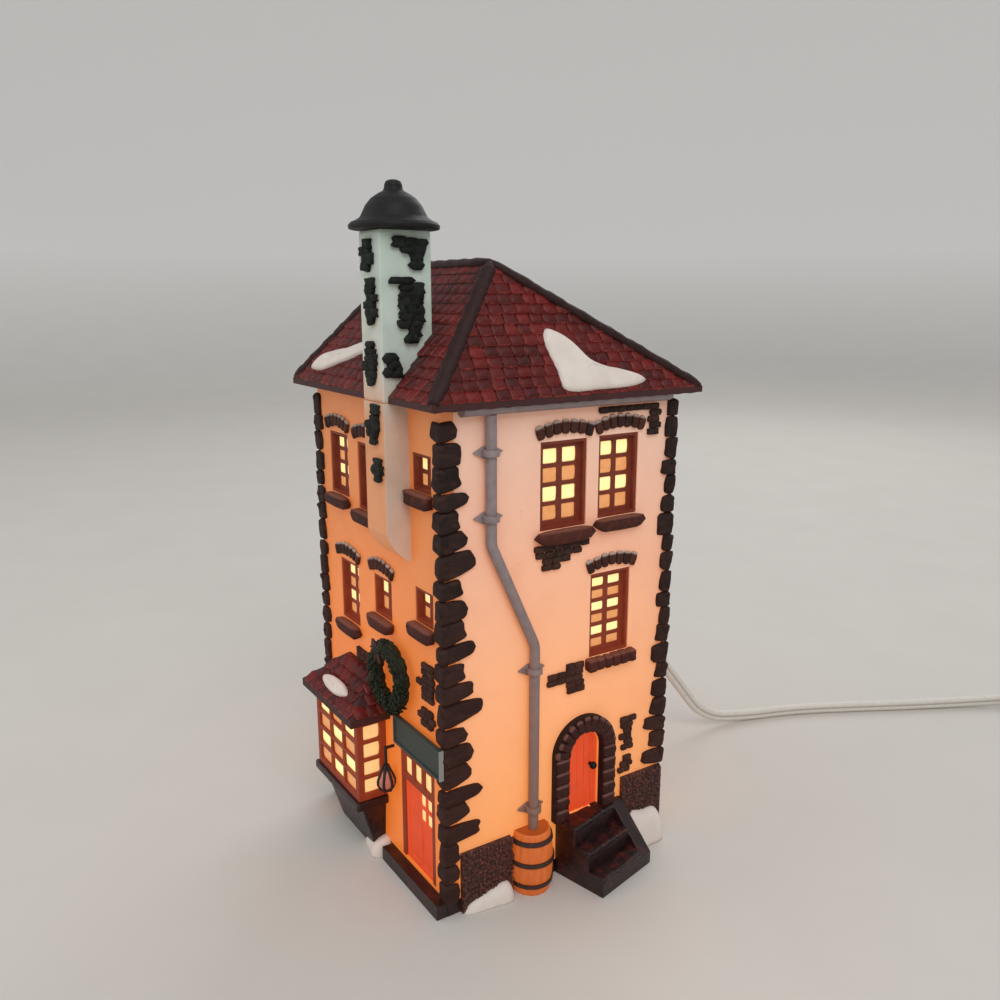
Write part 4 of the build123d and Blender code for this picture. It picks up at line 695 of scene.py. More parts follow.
# %% Finish of the dark stones
def stone_paint(name, dark, light, worn, top_highlight=None, stretch=(1, 1, 1)):
    """Dark stone: a tint for each stone, rubbed patches, and a pale painted highlight on its upper edge if
    asked.
    """
    pattern = 1.1, 5, 0.65, stretch
    paint = finish(name, pattern, dark, light, (0.55, 0.3), (0.6, 0.5), by="shade", **MATT)
    paint.over(((paint.noise(2.4, 3, 0.55, stretch) - 0.5) * 4).clamp() * 0.7, worn)
    if top_highlight:
        # Painted highlight: a pale colour along each stone's upper edge, where light catches it.
        upper = ((0.24 - paint.attribute("low")) * 7).clamp()
        paint.over(upper * (paint.grain + 0.45).clamp(), top_highlight)
    return paint.glow(0.5, "3A1206", "180803", "000000")


stone_paint("corner_stone", "170F0E", "2B1B18", "452A22", None, (0.5, 0.5, 1.6)).wear(*tongues)
stone_paint("lintel_stone", "2A1714", "46261E", "5E3426", "B9A79B").wear(lintels)
stone_paint("sill_stone", "2E1512", "4A211A", "6A3022", "7C4A3A").wear(sills)
stone_paint("brick_stone", "1E1513", "3A2620", "543226").wear(bricks)
stone_paint("black_stone", "0B0D0B", "1C211D", "262C27").wear(chimney_bricks)
print("dark stones painted:", count_faces(*tongues, lintels, sills, bricks, chimney_bricks), "faces")

# %% [markdown]
# ## Roof tiles
# The roof is a hipped one with four slopes. Each slope is a straight-sided patch, so a course of tiles
# is a row of points between its two edges. Every tile is a flat lump that leans a little, each course
# shifted by half a tile, and the ones where the chimney stands are left out. The rims of the tiles get
# a paler red, a painted highlight, which shows the joints.

# %% Tiles on the slopes
ROOF_COURSES = 13
COURSE_MIDDLE = 0.42
TILE_WIDTH = 4.8 * MM
TILE_LEAN = 0.10
TILE_LIFT = 0.5 * MM
TILE_HALF_THICK = 0.5 * MM
TILE_OVERLAP = 0.6
TILE_SIZES = (0.9, 1.05)
STACK_CLEAR = 1 * MM
RIDGE_HALF = 29.0 * MM
RIDGE_Y = -17.5 * MM
EAVE_OUT = 5.7 * MM
EAVE_DEEP = 2.0 * MM
eave_x = half_width + EAVE_OUT
eave_y = half_depth + EAVE_OUT
eave_z = wall_top + EAVE_DEEP
ridge_z = node_box("roof_shell")[1][2]
corner_signs = (-1, -1), (1, -1), (1, 1), (-1, 1)
eave_corners = [np.array([x * eave_x, y * eave_y, eave_z]) for x, y in corner_signs]
ridge_left, ridge_right = [np.array([s * RIDGE_HALF, RIDGE_Y, ridge_z]) for s in (-1, 1)]
hip_tops = [ridge_left, ridge_right, ridge_right, ridge_left]


def tile_rows(corner_a, corner_b, top_a, top_b, courses, width):
    """Rows of tile places between two edges of a slope, with along, up the slope and outward directions."""
    rows = []
    along = unit(corner_b - corner_a)
    edge = top_a - corner_a
    rise = edge - along * (edge @ along)
    slope = unit(rise)
    out = np.cross(along, slope)
    lean = unit(slope - out * TILE_LEAN)
    height = np.linalg.norm(rise) / courses
    for course in range(courses):
        share = (course + COURSE_MIDDLE) / courses
        start = corner_a + (top_a - corner_a) * share
        end = corner_b + (top_b - corner_b) * share
        length = np.linalg.norm(end - start)
        count = max(1, int(round(length / width)))
        at = (np.arange(count) + 0.5 + 0.5 * (course % 2)) / count
        spots = start + (end - start) * at[at < 1, None] + out * TILE_LIFT
        past_low = (spots > stack_low - STACK_CLEAR).all(axis=1)
        short_of_high = (spots[:, :2] < stack_high[:2] + STACK_CLEAR).all(axis=1)
        spots = spots[~(past_low & short_of_high)]
        size = np.array([length / count / 2, height * TILE_OVERLAP, TILE_HALF_THICK])
        sizes = size * rng.uniform(*TILE_SIZES, (len(spots), 3))
        rows.append((spots, alike(len(spots), along, lean, np.cross(along, lean)), sizes))
    return rows


def tiled(name, corners, tops, courses, width):
    """One mesh of tiles for a run of slopes, each between two neighbouring corners and their tops."""
    edges = zip(corners, corners[1:], tops, tops[1:])
    rows = [row for edge in edges for row in tile_rows(*edge, courses, width)]
    frames = [np.concatenate(part) for part in zip(*rows)]
    return lumps(name, "roof_tile", *frames, power=0.34, wobble=0.07, rings=4)


eave_ring, top_ring = eave_corners + eave_corners[:1], hip_tops + hip_tops[:1]
tiles = tiled("roof_tiles", eave_ring, top_ring, ROOF_COURSES, TILE_WIDTH)
print("roof:", count_faces(tiles), "faces")

# %% Tiles on the bay's roof
BAY_COURSES = 4
BAY_TILE = 4.2 * MM
BAY_EAVE = 2.6 * MM
BAY_TOP_HALF = 10.0 * MM
BAY_TOP_OUT = 1.0 * MM
COURSE_LIP = 0.8 * MM
bay_low, bay_high = node_box("bay_roof")
bay_x = (bay_low[0] + bay_high[0]) / 2
bay_half = bay_high[0] - bay_x - COURSE_LIP
bay_z = bay_low[2] + BAY_EAVE
bay_front = bay_low[1] + COURSE_LIP
bay_top_y = -half_depth - BAY_TOP_OUT


def bay_line(half, front, z):
    """Four points round the bay: at the wall, at its two front corners and at the wall again."""
    spots = (-1, -half_depth), (-1, front), (1, front), (1, -half_depth)
    return [np.array([bay_x + s * half, y, z]) for s, y in spots]


bay_eave, bay_head = bay_line(bay_half, bay_front, bay_z), bay_line(BAY_TOP_HALF, bay_top_y, bay_high[2])
bay_tiles = tiled("bay_tiles", bay_eave, bay_head, BAY_COURSES, BAY_TILE)

tile_red = finish("tile_red", (1.0, 4), "450E0C", "701A15", (0.4, 0.3), (0.5, 0.35), by="shade", **GLAZED)
tile_red.over(((tile_red.noise(16, 2) - 0.45) * 2.4).clamp(), "2C0A0C")
# Painted highlight: a paler red in patches along the rim of each tile.
tile_rim_highlight = ((tile_red.attribute("rim") - 0.78) * 4).clamp() * ((tile_red.grain - 0.34) * 3).clamp()
tile_red.over(tile_rim_highlight * 0.8, "C4544A").wear(tiles, bay_tiles)
print("bay's roof:", count_faces(bay_tiles), "faces")

# %% [markdown]
# ## Hips, ridge and eaves
# Where two slopes meet, a smooth dark band covers the joint, and the eaves end in a soft dark roll. Both
# are an oval carried along a line, swelling a little with a sine so that they look pressed by hand.

# %% Bands and the eave roll
BAND_WIDE = 2.4 * MM
BAND_TALL = 1.8 * MM
BAND_POINTS = 40
BAND_SIDES = 14
ROLL_WIDE = 1.4 * MM
ROLL_TALL = 1.5 * MM
ROLL_POINTS = 60
ROLL_SIDES = 12


def band(start, end):
    """A straight band: the oval's scale is one, swayed by a sine, and smaller at its two ends."""
    t = np.linspace(0, 1, BAND_POINTS)
    ends = np.clip(np.minimum(t, 1 - t) * 20, 0, 1) * 0.35 + 0.65
    start_at = rng.uniform(0, 6)
    sway = 0.95 + 0.07 * np.sin(t * 47 + start_at) + 0.05 * np.sin(t * 113 + start_at)
    line = start + (end - start) * t[:, None]
    return tube(line, oval(BAND_WIDE, BAND_TALL, BAND_SIDES), scale=ends * sway)


def eave_roll():
    """A closed oval roll along the four eaves, set in by its own half width."""
    inset = ROLL_WIDE * 0.8
    x, y, z = eave_x - inset, eave_y - inset, wall_top + EAVE_DEEP * 0.55
    corners = np.array([(-x, -y, z), (x, -y, z), (x, y, z), (-x, y, z), (-x, -y, z)])
    t = np.linspace(0, 1, ROLL_POINTS, endpoint=False)[:, None]
    line = np.concatenate([a + (b - a) * t for a, b in zip(corners, corners[1:])])
    sway = 1 + 0.08 * np.sin(np.arange(len(line)) * 1.7)
    return tube(line, oval(ROLL_WIDE, ROLL_TALL, ROLL_SIDES), scale=sway, closed=True)


bands = [band(corner, top) for corner, top in zip(eave_corners, hip_tops)] + [band(ridge_left, ridge_right)]
hips = store("hip_bands", "roof_cap", *join(bands), hides=("hip_and_ridge_caps",))
roll = store("eave_roll", "roof_cap", *eave_roll())
cap_brown = finish("cap_brown", (1.8, 4), "140807", "381511", (0.42, 0.3), (0.5, 0.5), **GLAZED)
cap_brown.wear(hips, roll)
roof_dark = finish("roof_dark", (2.5, 4), "200A0A", "4E1A18", (0.5, 0.3), (0.5, 0.5))
roof_dark.wear("roof_shell", "bay_roof")
print("bands:", count_faces(hips, roll), "faces")

# %% [markdown]
# ## Chimney
# The stack and its breast are plain plaster, and their colour holds painted light: a warm orange low
# down for the glow from within, a paler cream on the breast's outer face where light falls on it, and
# paler and cooler at the top because little light gets up there. The cap is turned: a profile of radius
# against height carried round an axis, with a flared rim, a bell and a knob. A profile is easier to read
# than a stack of cylinders.

# %% Chimney plaster and cap
COOL_FROM = 155 * MM
COOL_OVER = 20 * MM
BREAST_FROM = 0.5 * MM
BREAST_OVER = 0.3 * MM
# Painted glow: the orange base colour stands in for the light from within.
chalk = finish("chimney_plaster", (1.4, 4), "CE9A70", None, (0.4, 0.25))
haze = chalk.noise(9, 4)
patches = (haze - 0.4).clamp()
breast_face = node_box("chimney_breast")[1][0] - BREAST_FROM
# Painted light: the breast's outer face is a paler cream and glows less, lit from outside.
lit_breast_face = ((chalk.axis("X") - breast_face) / BREAST_OVER).clamp()
chalk.over(patches, "B07E54")
chalk.over(lit_breast_face, chalk.mix(haze, color("DCC8B8"), color("C0A894")))
cool = chalk.mix(patches * 1.4, color("C6D4CA"), color("98ABA0"))
chalk.over(((chalk.axis("Z") - COOL_FROM) / COOL_OVER).clamp(), cool)
chalk.glow(0.42, "FF8A34", "B05018", "120804", 175, lit_breast_face * 0.8).bump(chalk.grain + haze, 0.3, 0.4)
chalk.wear("chimney_breast", "chimney_stack")

CAP_RADII = [0.2, 13.2, 13.4, 12.6, 11.2, 9.9, 9.2, 8.2, 6.6, 4.6, 3.0, 2.7, 2.6, 2.2, 1.2, 0.2]
CAP_HEIGHTS = [0.1, 0.1, 1.3, 2.2, 2.7, 3.6, 5.0, 7.0, 8.9, 10.2, 11.0, 11.8, 12.7, 13.6, 14.05, 14.15]
CAP_ROWS = 90
CAP_SIDES = 48


def turned(radii, heights):
    """A lathe: a smooth run through (radius, height) pairs, carried round an upright axis."""
    knots = np.linspace(0, 1, len(radii))
    t = np.linspace(0, 1, CAP_ROWS)
    r, z = np.interp(t, knots, radii), np.interp(t, knots, heights)
    soft_edge = np.array([1, 2, 1]) / 4
    r[1:-1], z[1:-1] = np.convolve(r, soft_edge, "valid"), np.convolve(z, soft_edge, "valid")
    return upright_rings(r[:, None], z, CAP_SIDES)


cap_low, cap_high = node_box("chimney_cap")
cap_foot = np.array([*(cap_low + cap_high)[:2] / 2, cap_low[2]])
bell_parts = closed_rings(turned(CAP_RADII, CAP_HEIGHTS) * MM + cap_foot)
bell = store("chimney_bell", "black_glaze", *bell_parts, hides=("chimney_cap",))
black_glaze = finish("black_glaze", (4, 4), "0A0A0A", "201E1C", (0.4, 0.3), (0.4, 0.4), **MATT)
black_glaze.wear(bell, "side_door_knob")
print("bell:", count_faces(bell), "faces")

# %% [markdown]
# ## Softened solids
# Frames, doors, steps and the sign are right as solids, but cast porcelain has no sharp edges. The
# solid's triangles are loose, so a Weld modifier joins them and a Bevel rounds every edge that turns by
# more than a set angle. The solid itself isn't touched.

# %% Round the edges of solids
SHARP = math.radians(35)


def soften(width_mm, *names):
    """Weld the loose triangles and round the edges."""
    for name in names:
        weld = nodes[name].modifiers.new("weld", "WELD")
        weld.merge_threshold = MICRON
        bevel = nodes[name].modifiers.new("round", "BEVEL")
        bevel.width = width_mm * MM
        bevel.segments = 2
        bevel.limit_method = "ANGLE"
        bevel.angle_limit = SHARP


WINDOW_FRAMES = ("side_window_frames", "shop_window_frames", "rear_window_frames")
soften(0.25, *WINDOW_FRAMES, "shop_door_frame", "shop_door", "bay_frame", "sign_board", "shop_step")
soften(0.8, "bay_base", "side_steps", "switch_body", "plug_body", "chimney_stack", "chimney_breast")
soften(0.2, "plug_blades", "coil_tie", "pipe_brackets", "switch_wheel")
terracotta = finish("terracotta_frame", (2.2, 4), "4E1C10", "83351D", (0.42, 0.3), (0.4, 0.3))
terracotta.glow(0.4, "98300C", "501808", "200A04", 175)
terracotta.wear(*WINDOW_FRAMES, "shop_door_frame", "bay_frame")
print("softened", sum(bool(o.modifiers) for o in nodes.values()), "solids")

# %% [markdown]
# ## Lit panes
# Each pane is a small pillow of thin glaze with the light behind it. Some are bright and some dim, row
# by row on the tall windows and like a chessboard on the others. The window's solid gives the
# rectangle, its rim and bars divide it, and the brightness goes in an attribute.

# %% Panes
RIM_SHARE = 0.145
UPRIGHT_SHARE = 0.11
CROSS_BAR = 1.3 * MM
PANE_SWELL = 0.5 * MM
PANE_TUCK = 0.12 * MM
SMALL_WINDOW = 16 * MM
TALL_SIX = (75.6 * MM, 29.0 * MM)


def pane_frames(low, high, columns, rows, out, rim, upright, bar, lift, even=None):
    """The clear rectangles of a barred window, as flat lumps, and which of them are bright."""
    along = np.cross(UPWARD, out)
    width = abs((high - low) @ along) - 2 * rim
    height = high[2] - low[2] - 2 * rim
    w = (width - (columns - 1) * upright) / columns
    h = (height - (rows - 1) * bar) / rows
    c, r = pairs(np.arange(columns), np.arange(rows))
    u = -width / 2 + w / 2 + c * (w + upright)
    v = -height / 2 + h / 2 + r * (h + bar)
    face = (low + high) / 2 + out * (abs((high - low) @ out) / 2 + lift)
    middles = face + u[:, None] * along + v[:, None] * UPWARD
    halves = np.tile([w / 2 + PANE_TUCK, h / 2 + PANE_TUCK, PANE_SWELL], (len(c), 1))
    chequered = rows == 2 or columns == 3
    bright = (c + r) % 2 if chequered else r % 2
    bright = bright if even is None else np.full(len(c), even)
    return middles, alike(len(c), along, UPWARD, out), halves, bright


def panes_for(name, *windows):
    """One mesh of panes, with the brightness of each as its glow."""
    middles, axes, halves, bright = [np.concatenate(part) for part in zip(*windows)]
    made = lumps(name, "lit_pane", middles, axes, halves, power=0.3, wobble=0.03, sides=16, rings=6)
    each = np.repeat(bright, len(made.data.vertices) // len(bright))
    glow = made.data.attributes.new("glow", "FLOAT", "POINT")
    glow.data.foreach_set("value", each.astype(np.float32))
    return made


def window_panes(node):
    """Panes for each window of a node: two columns, and rows by the window's height and place."""
    found = []
    for block in blocks_of(node):
        low, high = block.min(axis=0), block.max(axis=0)
        out = off_wall((low + high) / 2)
        width = abs((high - low) @ np.cross(UPWARD, out))
        rows = 2 if high[2] - low[2] < SMALL_WINDOW else 4
        if np.allclose((low[2], high[2] - low[2]), TALL_SIX, atol=0.1 * MM):
            rows = 6
        bars = (RIM_SHARE * width, UPRIGHT_SHARE * width, CROSS_BAR)
        found.append(pane_frames(low, high, 2, rows, out, *bars, 0.0))
    return found


lit = [
    panes_for(place + "_lit_panes", *window_panes(place + "_window_panes"))
    for place in ("side", "shop", "rear")
]
print("window panes:", count_faces(*lit), "faces")

# %% Panes of the bay and the shop door
BAY_POST = 2.4 * MM
BAY_BAR = 1.2 * MM
BAY_LIFT = 1.0 * MM
THIN = 1.0 * MM
BAY_SIDE_GLOW = 0.45
glass_low, glass_high = node_box("bay_panes")
pane_low, pane_high = glass_low[2] + BAY_POST, glass_high[2] - BAY_POST
bay_panes = [pane_frames(
    np.array([glass_low[0], glass_low[1], pane_low]),
    np.array([glass_high[0], glass_low[1] + THIN, pane_high]),
    3, 4, OUT_SHOP, 0.0, BAY_BAR, BAY_BAR, BAY_LIFT,
)]
for sign, x in ((-1, glass_low[0]), (1, glass_high[0])):
    low = np.array([x - THIN / 2, glass_low[1], pane_low])
    high = np.array([x + THIN / 2, -half_depth - BAY_POST, pane_high])
    bars = (0.0, BAY_BAR, BAY_BAR, BAY_LIFT / 2, BAY_SIDE_GLOW)
    bay_panes.append(pane_frames(low, high, 1, 4, OUT_SIDE * sign, *bars))
lit.append(panes_for("bay_lit_panes", *bay_panes))

JAMB = 2.2 * MM
TRANSOM = (37.4 * MM, 44.3 * MM)
DOOR_LIGHT = (27.1 * MM, 34.3 * MM, 25.0 * MM, 34.6 * MM)
DOOR_LIFT = 0.6 * MM
DOOR_GLOW = 0.6
DOOR_BARS = (OUT_SHOP, 0.0, CROSS_BAR, CROSS_BAR, DOOR_LIFT, DOOR_GLOW)
frame_low, frame_high = node_box("shop_door_frame")
glass_y = node_box("shop_door_panes")[0][1]


def door_panes(x_low, x_high, z_low, z_high, columns, rows):
    """Panes of an even brightness in the plane of the shop door's glass."""
    low, high = np.array([x_low, glass_y, z_low]), np.array([x_high, glass_y + THIN, z_high])
    return pane_frames(low, high, columns, rows, *DOOR_BARS)


transom = door_panes(frame_low[0] + JAMB, frame_high[0] - JAMB, *TRANSOM, 3, 1)
lit.append(panes_for("shop_door_lit_panes", transom, door_panes(*DOOR_LIGHT, 2, 2)))

pane_glow = finish("lit_pane", (2.6, 3), "A86E3E", "E0BC7C", (0.22, 0.2), (0.2, 0.2), by="glow")
hot = pane_glow.mix(pane_glow.grain, color("FFD977"), color("FFF3BE"))
dim = pane_glow.mix(pane_glow.grain, color("BE7038"), color("E2A870"))
shown = pane_glow.mix(pane_glow.attribute("glow"), dim, hot)
# Painted shade: each pane's glow turns a darker orange at its rim, next to the bars.
pane_rim_shade = ((pane_glow.attribute("rim") - 0.8) * 4).clamp() * 0.75
pane_glow.set(Emission_Color=pane_glow.mix(pane_rim_shade, shown, color("B0501C")), Emission_Strength=0.85)
pane_glow.wear(*lit)
back_light = finish("back_light", (5, 3), "8A4A22", "B06A34", (0.4, 0.2), Emission_Strength=0.6)
back_light.set(Emission_Color=back_light.mix(back_light.grain, color("8A3C12"), color("B86420")))
PANED = ("side_window", "shop_window", "rear_window", "bay", "shop_door")
back_light.wear(*[place + "_panes" for place in PANED])
print("panes:", count_faces(*lit), "faces")

# %% [markdown]
# ## Doors
# The side door is made of upright planks with a grain; a noise that is stretched along the height gives
# streaks. The arch round it is a ring of stones, placed by angle round the head and by height down the
# jambs, over the plain solid band.

# %% Door planks and the stone arch
ARCH_STONES = 11
JAMB_STONES = 5
SURROUND_BAND = 5.6 * MM
ARCH_PROUD = 0.9 * MM
ARCH_FILL = 0.96
JAMB_FILL = 0.95
surround_low, surround_high = node_box("side_door_surround")
arch_y = (surround_low[1] + surround_high[1]) / 2
arch_outer = (surround_high[1] - surround_low[1]) / 2
spring_z = surround_high[2] - arch_outer
mid_radius = arch_outer - SURROUND_BAND / 2
jamb_height = spring_z - surround_low[2]


def arch_frames():
    """Stones round the head by angle, and up each jamb by height."""
    radial = spokes((np.arange(ARCH_STONES) + 0.5) / ARCH_STONES * np.pi, -OUT_SHOP, UPWARD)
    out = np.broadcast_to(OUT_SIDE, radial.shape)
    head = np.array([surround_high[0], arch_y, spring_z]) + radial * mid_radius
    head_half = [math.pi * mid_radius / ARCH_STONES / 2 * ARCH_FILL, SURROUND_BAND / 2, ARCH_PROUD]
    z = surround_low[2] + (np.arange(JAMB_STONES) + 0.5) / JAMB_STONES * jamb_height
    y, z = pairs(arch_y + np.array([-1.0, 1.0]) * mid_radius, z)
    jamb = np.stack([np.full(len(y), surround_high[0]), y, z], axis=-1)
    jamb_half = [SURROUND_BAND / 2, jamb_height / JAMB_STONES / 2 * JAMB_FILL, ARCH_PROUD]
    head_axes = np.stack([np.cross(radial, out), radial, out], axis=1)
    axes = np.concatenate([head_axes, alike(len(y), -OUT_SHOP, UPWARD, OUT_SIDE)])
    halves = np.repeat([head_half, jamb_half], [ARCH_STONES, len(y)], axis=0)
    return np.concatenate([head, jamb]), axes, halves


arch_stones = lumps("door_arch_stones", "door_stone", *arch_frames(), power=0.45)
stone_paint("arch_stone", "1A1011", "2E1A19", "4A2622", "6A4A44").wear(arch_stones)
arch_bed = finish("arch_bed", (1.4, 4), "150C0C", "2A1716", (0.6, 0.2), (0.5, 0.4), **MATT)
arch_bed.wear("side_door_surround")
plank = finish("door_planks", (1.0, 4, 0.6, (1, 1, 0.08)), "7A1E0E", "D0492A", (0.42, 0.25), (0.6, 0.3))
plank.over((plank.noise(7, 2) - 0.45).clamp(), "4A120A")
plank.glow(0.5, "FF5A22", "C0380F", "501404", 150).wear("side_door", "shop_door")
print("arch:", ARCH_STONES + 2 * JAMB_STONES, "stones")

# %% [markdown]
# ## Steps and plinth
# The flight is turned a little away from the wall. Its treads are worn slabs, so each gets a row of flat
# lumps over the solid, in directions turned with the flight. The plinth is rubble: a few hundred small
# stones scattered evenly by jittering a grid.

# %% Steps and rubble
STEP_COUNT = 3
STEP_DEEP = 6.1 * MM
STEP_TOP = 20.0 * MM
STEP_TURN = math.radians(13.0)
TREAD_ENDS = (-10.8 * MM, 11.2 * MM)
SLABS = 3
SLAB_HALF_THICK = 0.9 * MM
SLAB_PROUD = 0.25 * MM
SLAB_GAP = 0.08 * MM
SLAB_SIZES = ([0.98, 0.97, 0.85], [1.04, 1.0, 1.1])
PEBBLE = 1.5 * MM
PEBBLE_SUNK = 0.2 * MM
PEBBLE_SHIFT = 0.28
PEBBLE_FREE = np.array([0.3, 1, 1])
PEBBLE_SIZES = ([0.45, 0.34, 0.4], [0.72, 0.52, 0.6])
flight_foot = np.array([half_width, arch_y, 0.0])
flight_out = spokes(STEP_TURN, OUT_SIDE, -OUT_SHOP)
flight_along = spokes(STEP_TURN, -OUT_SHOP, -OUT_SIDE)


def slab_frames():
    """A row of slabs on each tread: out of the wall, along the tread and up."""
    tread, slab = pairs(np.arange(STEP_COUNT), np.arange(SLABS))
    width = (TREAD_ENDS[1] - TREAD_ENDS[0]) / SLABS
    out = STEP_DEEP * (tread + 0.5)
    along = TREAD_ENDS[0] + width * (slab + 0.5)
    middles = flight_foot + out[:, None] * flight_out + along[:, None] * flight_along
    middles[:, 2] = STEP_TOP * (STEP_COUNT - tread) / STEP_COUNT - SLAB_HALF_THICK + SLAB_PROUD
    size = np.array([STEP_DEEP / 2 + SLAB_PROUD, width / 2 - SLAB_GAP, SLAB_HALF_THICK])
    sizes = size * rng.uniform(*SLAB_SIZES, (len(tread), 3))
    return middles, alike(len(tread), flight_out, flight_along, UPWARD), sizes


def maroon_paint(name, wear_and_highlight_share):
    """Dark glazed maroon with scuffs, and red patches that are partly wear and partly painted highlight."""
    paint = finish(name, (2.0, 5, 0.6), "120808", "2A1010", (0.26, 0.3), (0.6, 0.5))
    # Red patches by a share: wear, and painted highlight where light catches the steps.
    return paint.over(((paint.noise(4, 3) - 0.5) * 4).clamp() * wear_and_highlight_share, "7A2C22")


def rubble_frames():
    """Small stones on a jittered grid over each plinth block."""
    middles = []
    for block in blocks_of("rubble_plinth"):
        low, high = block.min(axis=0), block.max(axis=0)
        z, y = pairs(*[np.arange(low[k] + PEBBLE / 2, high[k], PEBBLE) for k in (2, 1)])
        spots = np.stack([np.full(len(y), high[0] - PEBBLE_SUNK), y, z], axis=-1)
        jitter = rng.uniform(-PEBBLE_SHIFT, PEBBLE_SHIFT, spots.shape)
        middles.append(spots + jitter * PEBBLE * PEBBLE_FREE)
    middles = np.concatenate(middles)
    along = spokes(rng.uniform(0, np.pi, len(middles)), -OUT_SHOP, UPWARD)
    out = np.broadcast_to(OUT_SIDE, along.shape)
    axes = np.stack([along, np.cross(out, along), out], axis=1)
    return middles, axes, PEBBLE * rng.uniform(*PEBBLE_SIZES, along.shape)


slabs = lumps("step_slabs", "maroon_step", *slab_frames(), power=0.3, wobble=0.06, sides=20, rings=8)
maroon_paint("maroon_stone", 0.25).wear("side_steps", "bay_base", "base_plate", "shop_step")
maroon_paint("tread_wear_and_highlight", 0.45).wear(slabs)
rubble = lumps("plinth_rubble", "dark_stone", *rubble_frames(), power=0.75, wobble=0.12, sides=6, rings=4)
rubble_stone = finish("rubble_stone", (1.2, 4), "1C0E0D", None, (0.5, 0.3), (0.5, 0.3))
rubble_stone.over(((rubble_stone.grain - 0.45) * 3).clamp(), "7A4034")
rubble_stone.glow(0.4, "5A1A08", "200A04", "000000", 130).wear(rubble, "rubble_plinth")
print("rubble:", count_faces(rubble), "faces")

# %% [markdown]
# ## Barrel and pipes
# The barrel is turned, with grooves between its staves from a cosine of the angle, and flat where it
# meets the wall. The gutter and the pipe are right as solids: they get a dull lavender grey, and a
# painted warm light turns it brown towards the lit foot of the wall.

# %% Barrel with staves
STAVES = 16
STAVE_TINT = 0.618
BARREL_AROUND = 128
BARREL_ROWS = 30
BARREL_FULL = 7.4
BARREL_END = 6.2
GROOVE_DEEP = 0.22
GROOVE_POWER = 14
FOOT_IN = 0.2
RIM_IN = 0.6
LID_IN = 0.8
LID_SUNK = 0.5
POLE = 0.01
WALL_GAP = 0.02 * MM
PIPE_GLOW_BELOW = 120 * MM
barrel_low, barrel_high = node_box("rain_barrel")
barrel_foot = np.array([barrel_high[0] - BARREL_FULL * MM, (barrel_low[1] + barrel_high[1]) / 2, 0.0])


def barrel():
    """Radius by height: a parabola through the bulge, less a groove at each stave; flat at the wall."""
    height = barrel_high[2] / MM
    sunk = height - LID_SUNK
    z = np.concatenate([[0, 0], np.linspace(0, height, BARREL_ROWS), [height, sunk, sunk]])
    r = BARREL_FULL - (BARREL_FULL - BARREL_END) * ((z - height / 2) / (height / 2)) ** 2
    r[:2] = [POLE, BARREL_END - FOOT_IN]
    r[-3:] = [BARREL_END - RIM_IN, BARREL_END - LID_IN, POLE]
    a = around(BARREL_AROUND)
    row = np.arange(len(z))
    on_lid = row >= len(z) - 3
    groove = GROOVE_DEEP * np.abs(np.cos(a * STAVES / 2)) ** GROOVE_POWER
    radius = r[:, None] - np.outer((row >= 2) & ~on_lid, groove)
    rings = upright_rings(radius, z, BARREL_AROUND) * MM + barrel_foot
    rings[..., 0] = np.maximum(rings[..., 0], half_width + WALL_GAP)
    shade = np.tile(np.floor(a / (2 * np.pi) * STAVES) * STAVE_TINT % 1, len(z))
    tints = {"shade": np.append(shade, [0, 0]), "lid": np.append(np.repeat(on_lid, BARREL_AROUND), [0, 1])}
    return store("barrel_staves", "barrel_brown", *closed_rings(rings), tints=tints, hides=("rain_barrel",))


staves = barrel()
cask = finish("cask_wood", (0.9, 4, 0.6, (1, 1, 0.12)), "8A3A16", "D8793A", (0.45, 0.25), (0.5, 0.3))
cask.over(cask.attribute("shade") * 0.5, "A84A20").over(cask.attribute("lid"), "6A2014")
cask.glow(0.4, "FF7A22", "B04A12", "400E02", 130).wear(staves)
iron = finish("dark_iron", (1.2, 4), "241410", "4A2A20", (0.45, 0.3), (0.4, 0.25))
iron.wear("barrel_hoops")
pipe_grey = finish("pipe_grey", (1.2, 3, 0.5, (1, 1, 0.15)), "76686A", None, (0.36, 0.25), (0.25, 0.3))
pipe_grey.over(pipe_grey.noise(3, 4), "A29292")
# Painted light: the grey turns brown towards the ground, for the warm light from the lit foot of the wall.
pipe_grey.over((1 - pipe_grey.axis("Z") / PIPE_GLOW_BELOW).clamp() * 0.8, "8A5A40")
pipe_grey.wear("gutter", "downspout", "pipe_brackets")
print("barrel:", count_faces(staves), "faces")

# %% [markdown]
# ## Wreath, lantern and sign
# A wreath is a bundle of needles: a dark core ring, and hundreds of slim leaves set round it, each
# pointing outward and forward at a random angle. The lantern is a cage of iron wires along the outline
# of a drop, round a faint painted glow. The sign board stays bare.

# %% Wreath of leaves and its bow
LEAVES = 620
CORE_SHARE = 0.72
CORE_POINTS = 96
CORE_SIDES = 16
LEAF_SIZES = ([1.1, 0.4, 0.28], [1.7, 0.66, 0.42])
BOW_AT = (-0.45, 0, 0.9)
BOW_OUT = 0.62
BOW_TURNS = np.array([2.6, 0.5, -1.1, -2.0, 0.0])
BOW_REACH = np.array([2.2, 2.2, 2.6, 2.6, 0.0]) * MM
BOW_HALVES = ((2.2, 1.3, 0.7), (2.2, 1.3, 0.7), (2.4, 0.8, 0.5), (2.4, 0.8, 0.5), (0.9, 0.9, 0.9))
wreath_low, wreath_high = node_box("wreath")
wreath_middle = (wreath_low + wreath_high) / 2
wreath_tube = (wreath_high[1] - wreath_low[1]) / 2
wreath_ring = (wreath_high[0] - wreath_low[0]) / 2 - wreath_tube


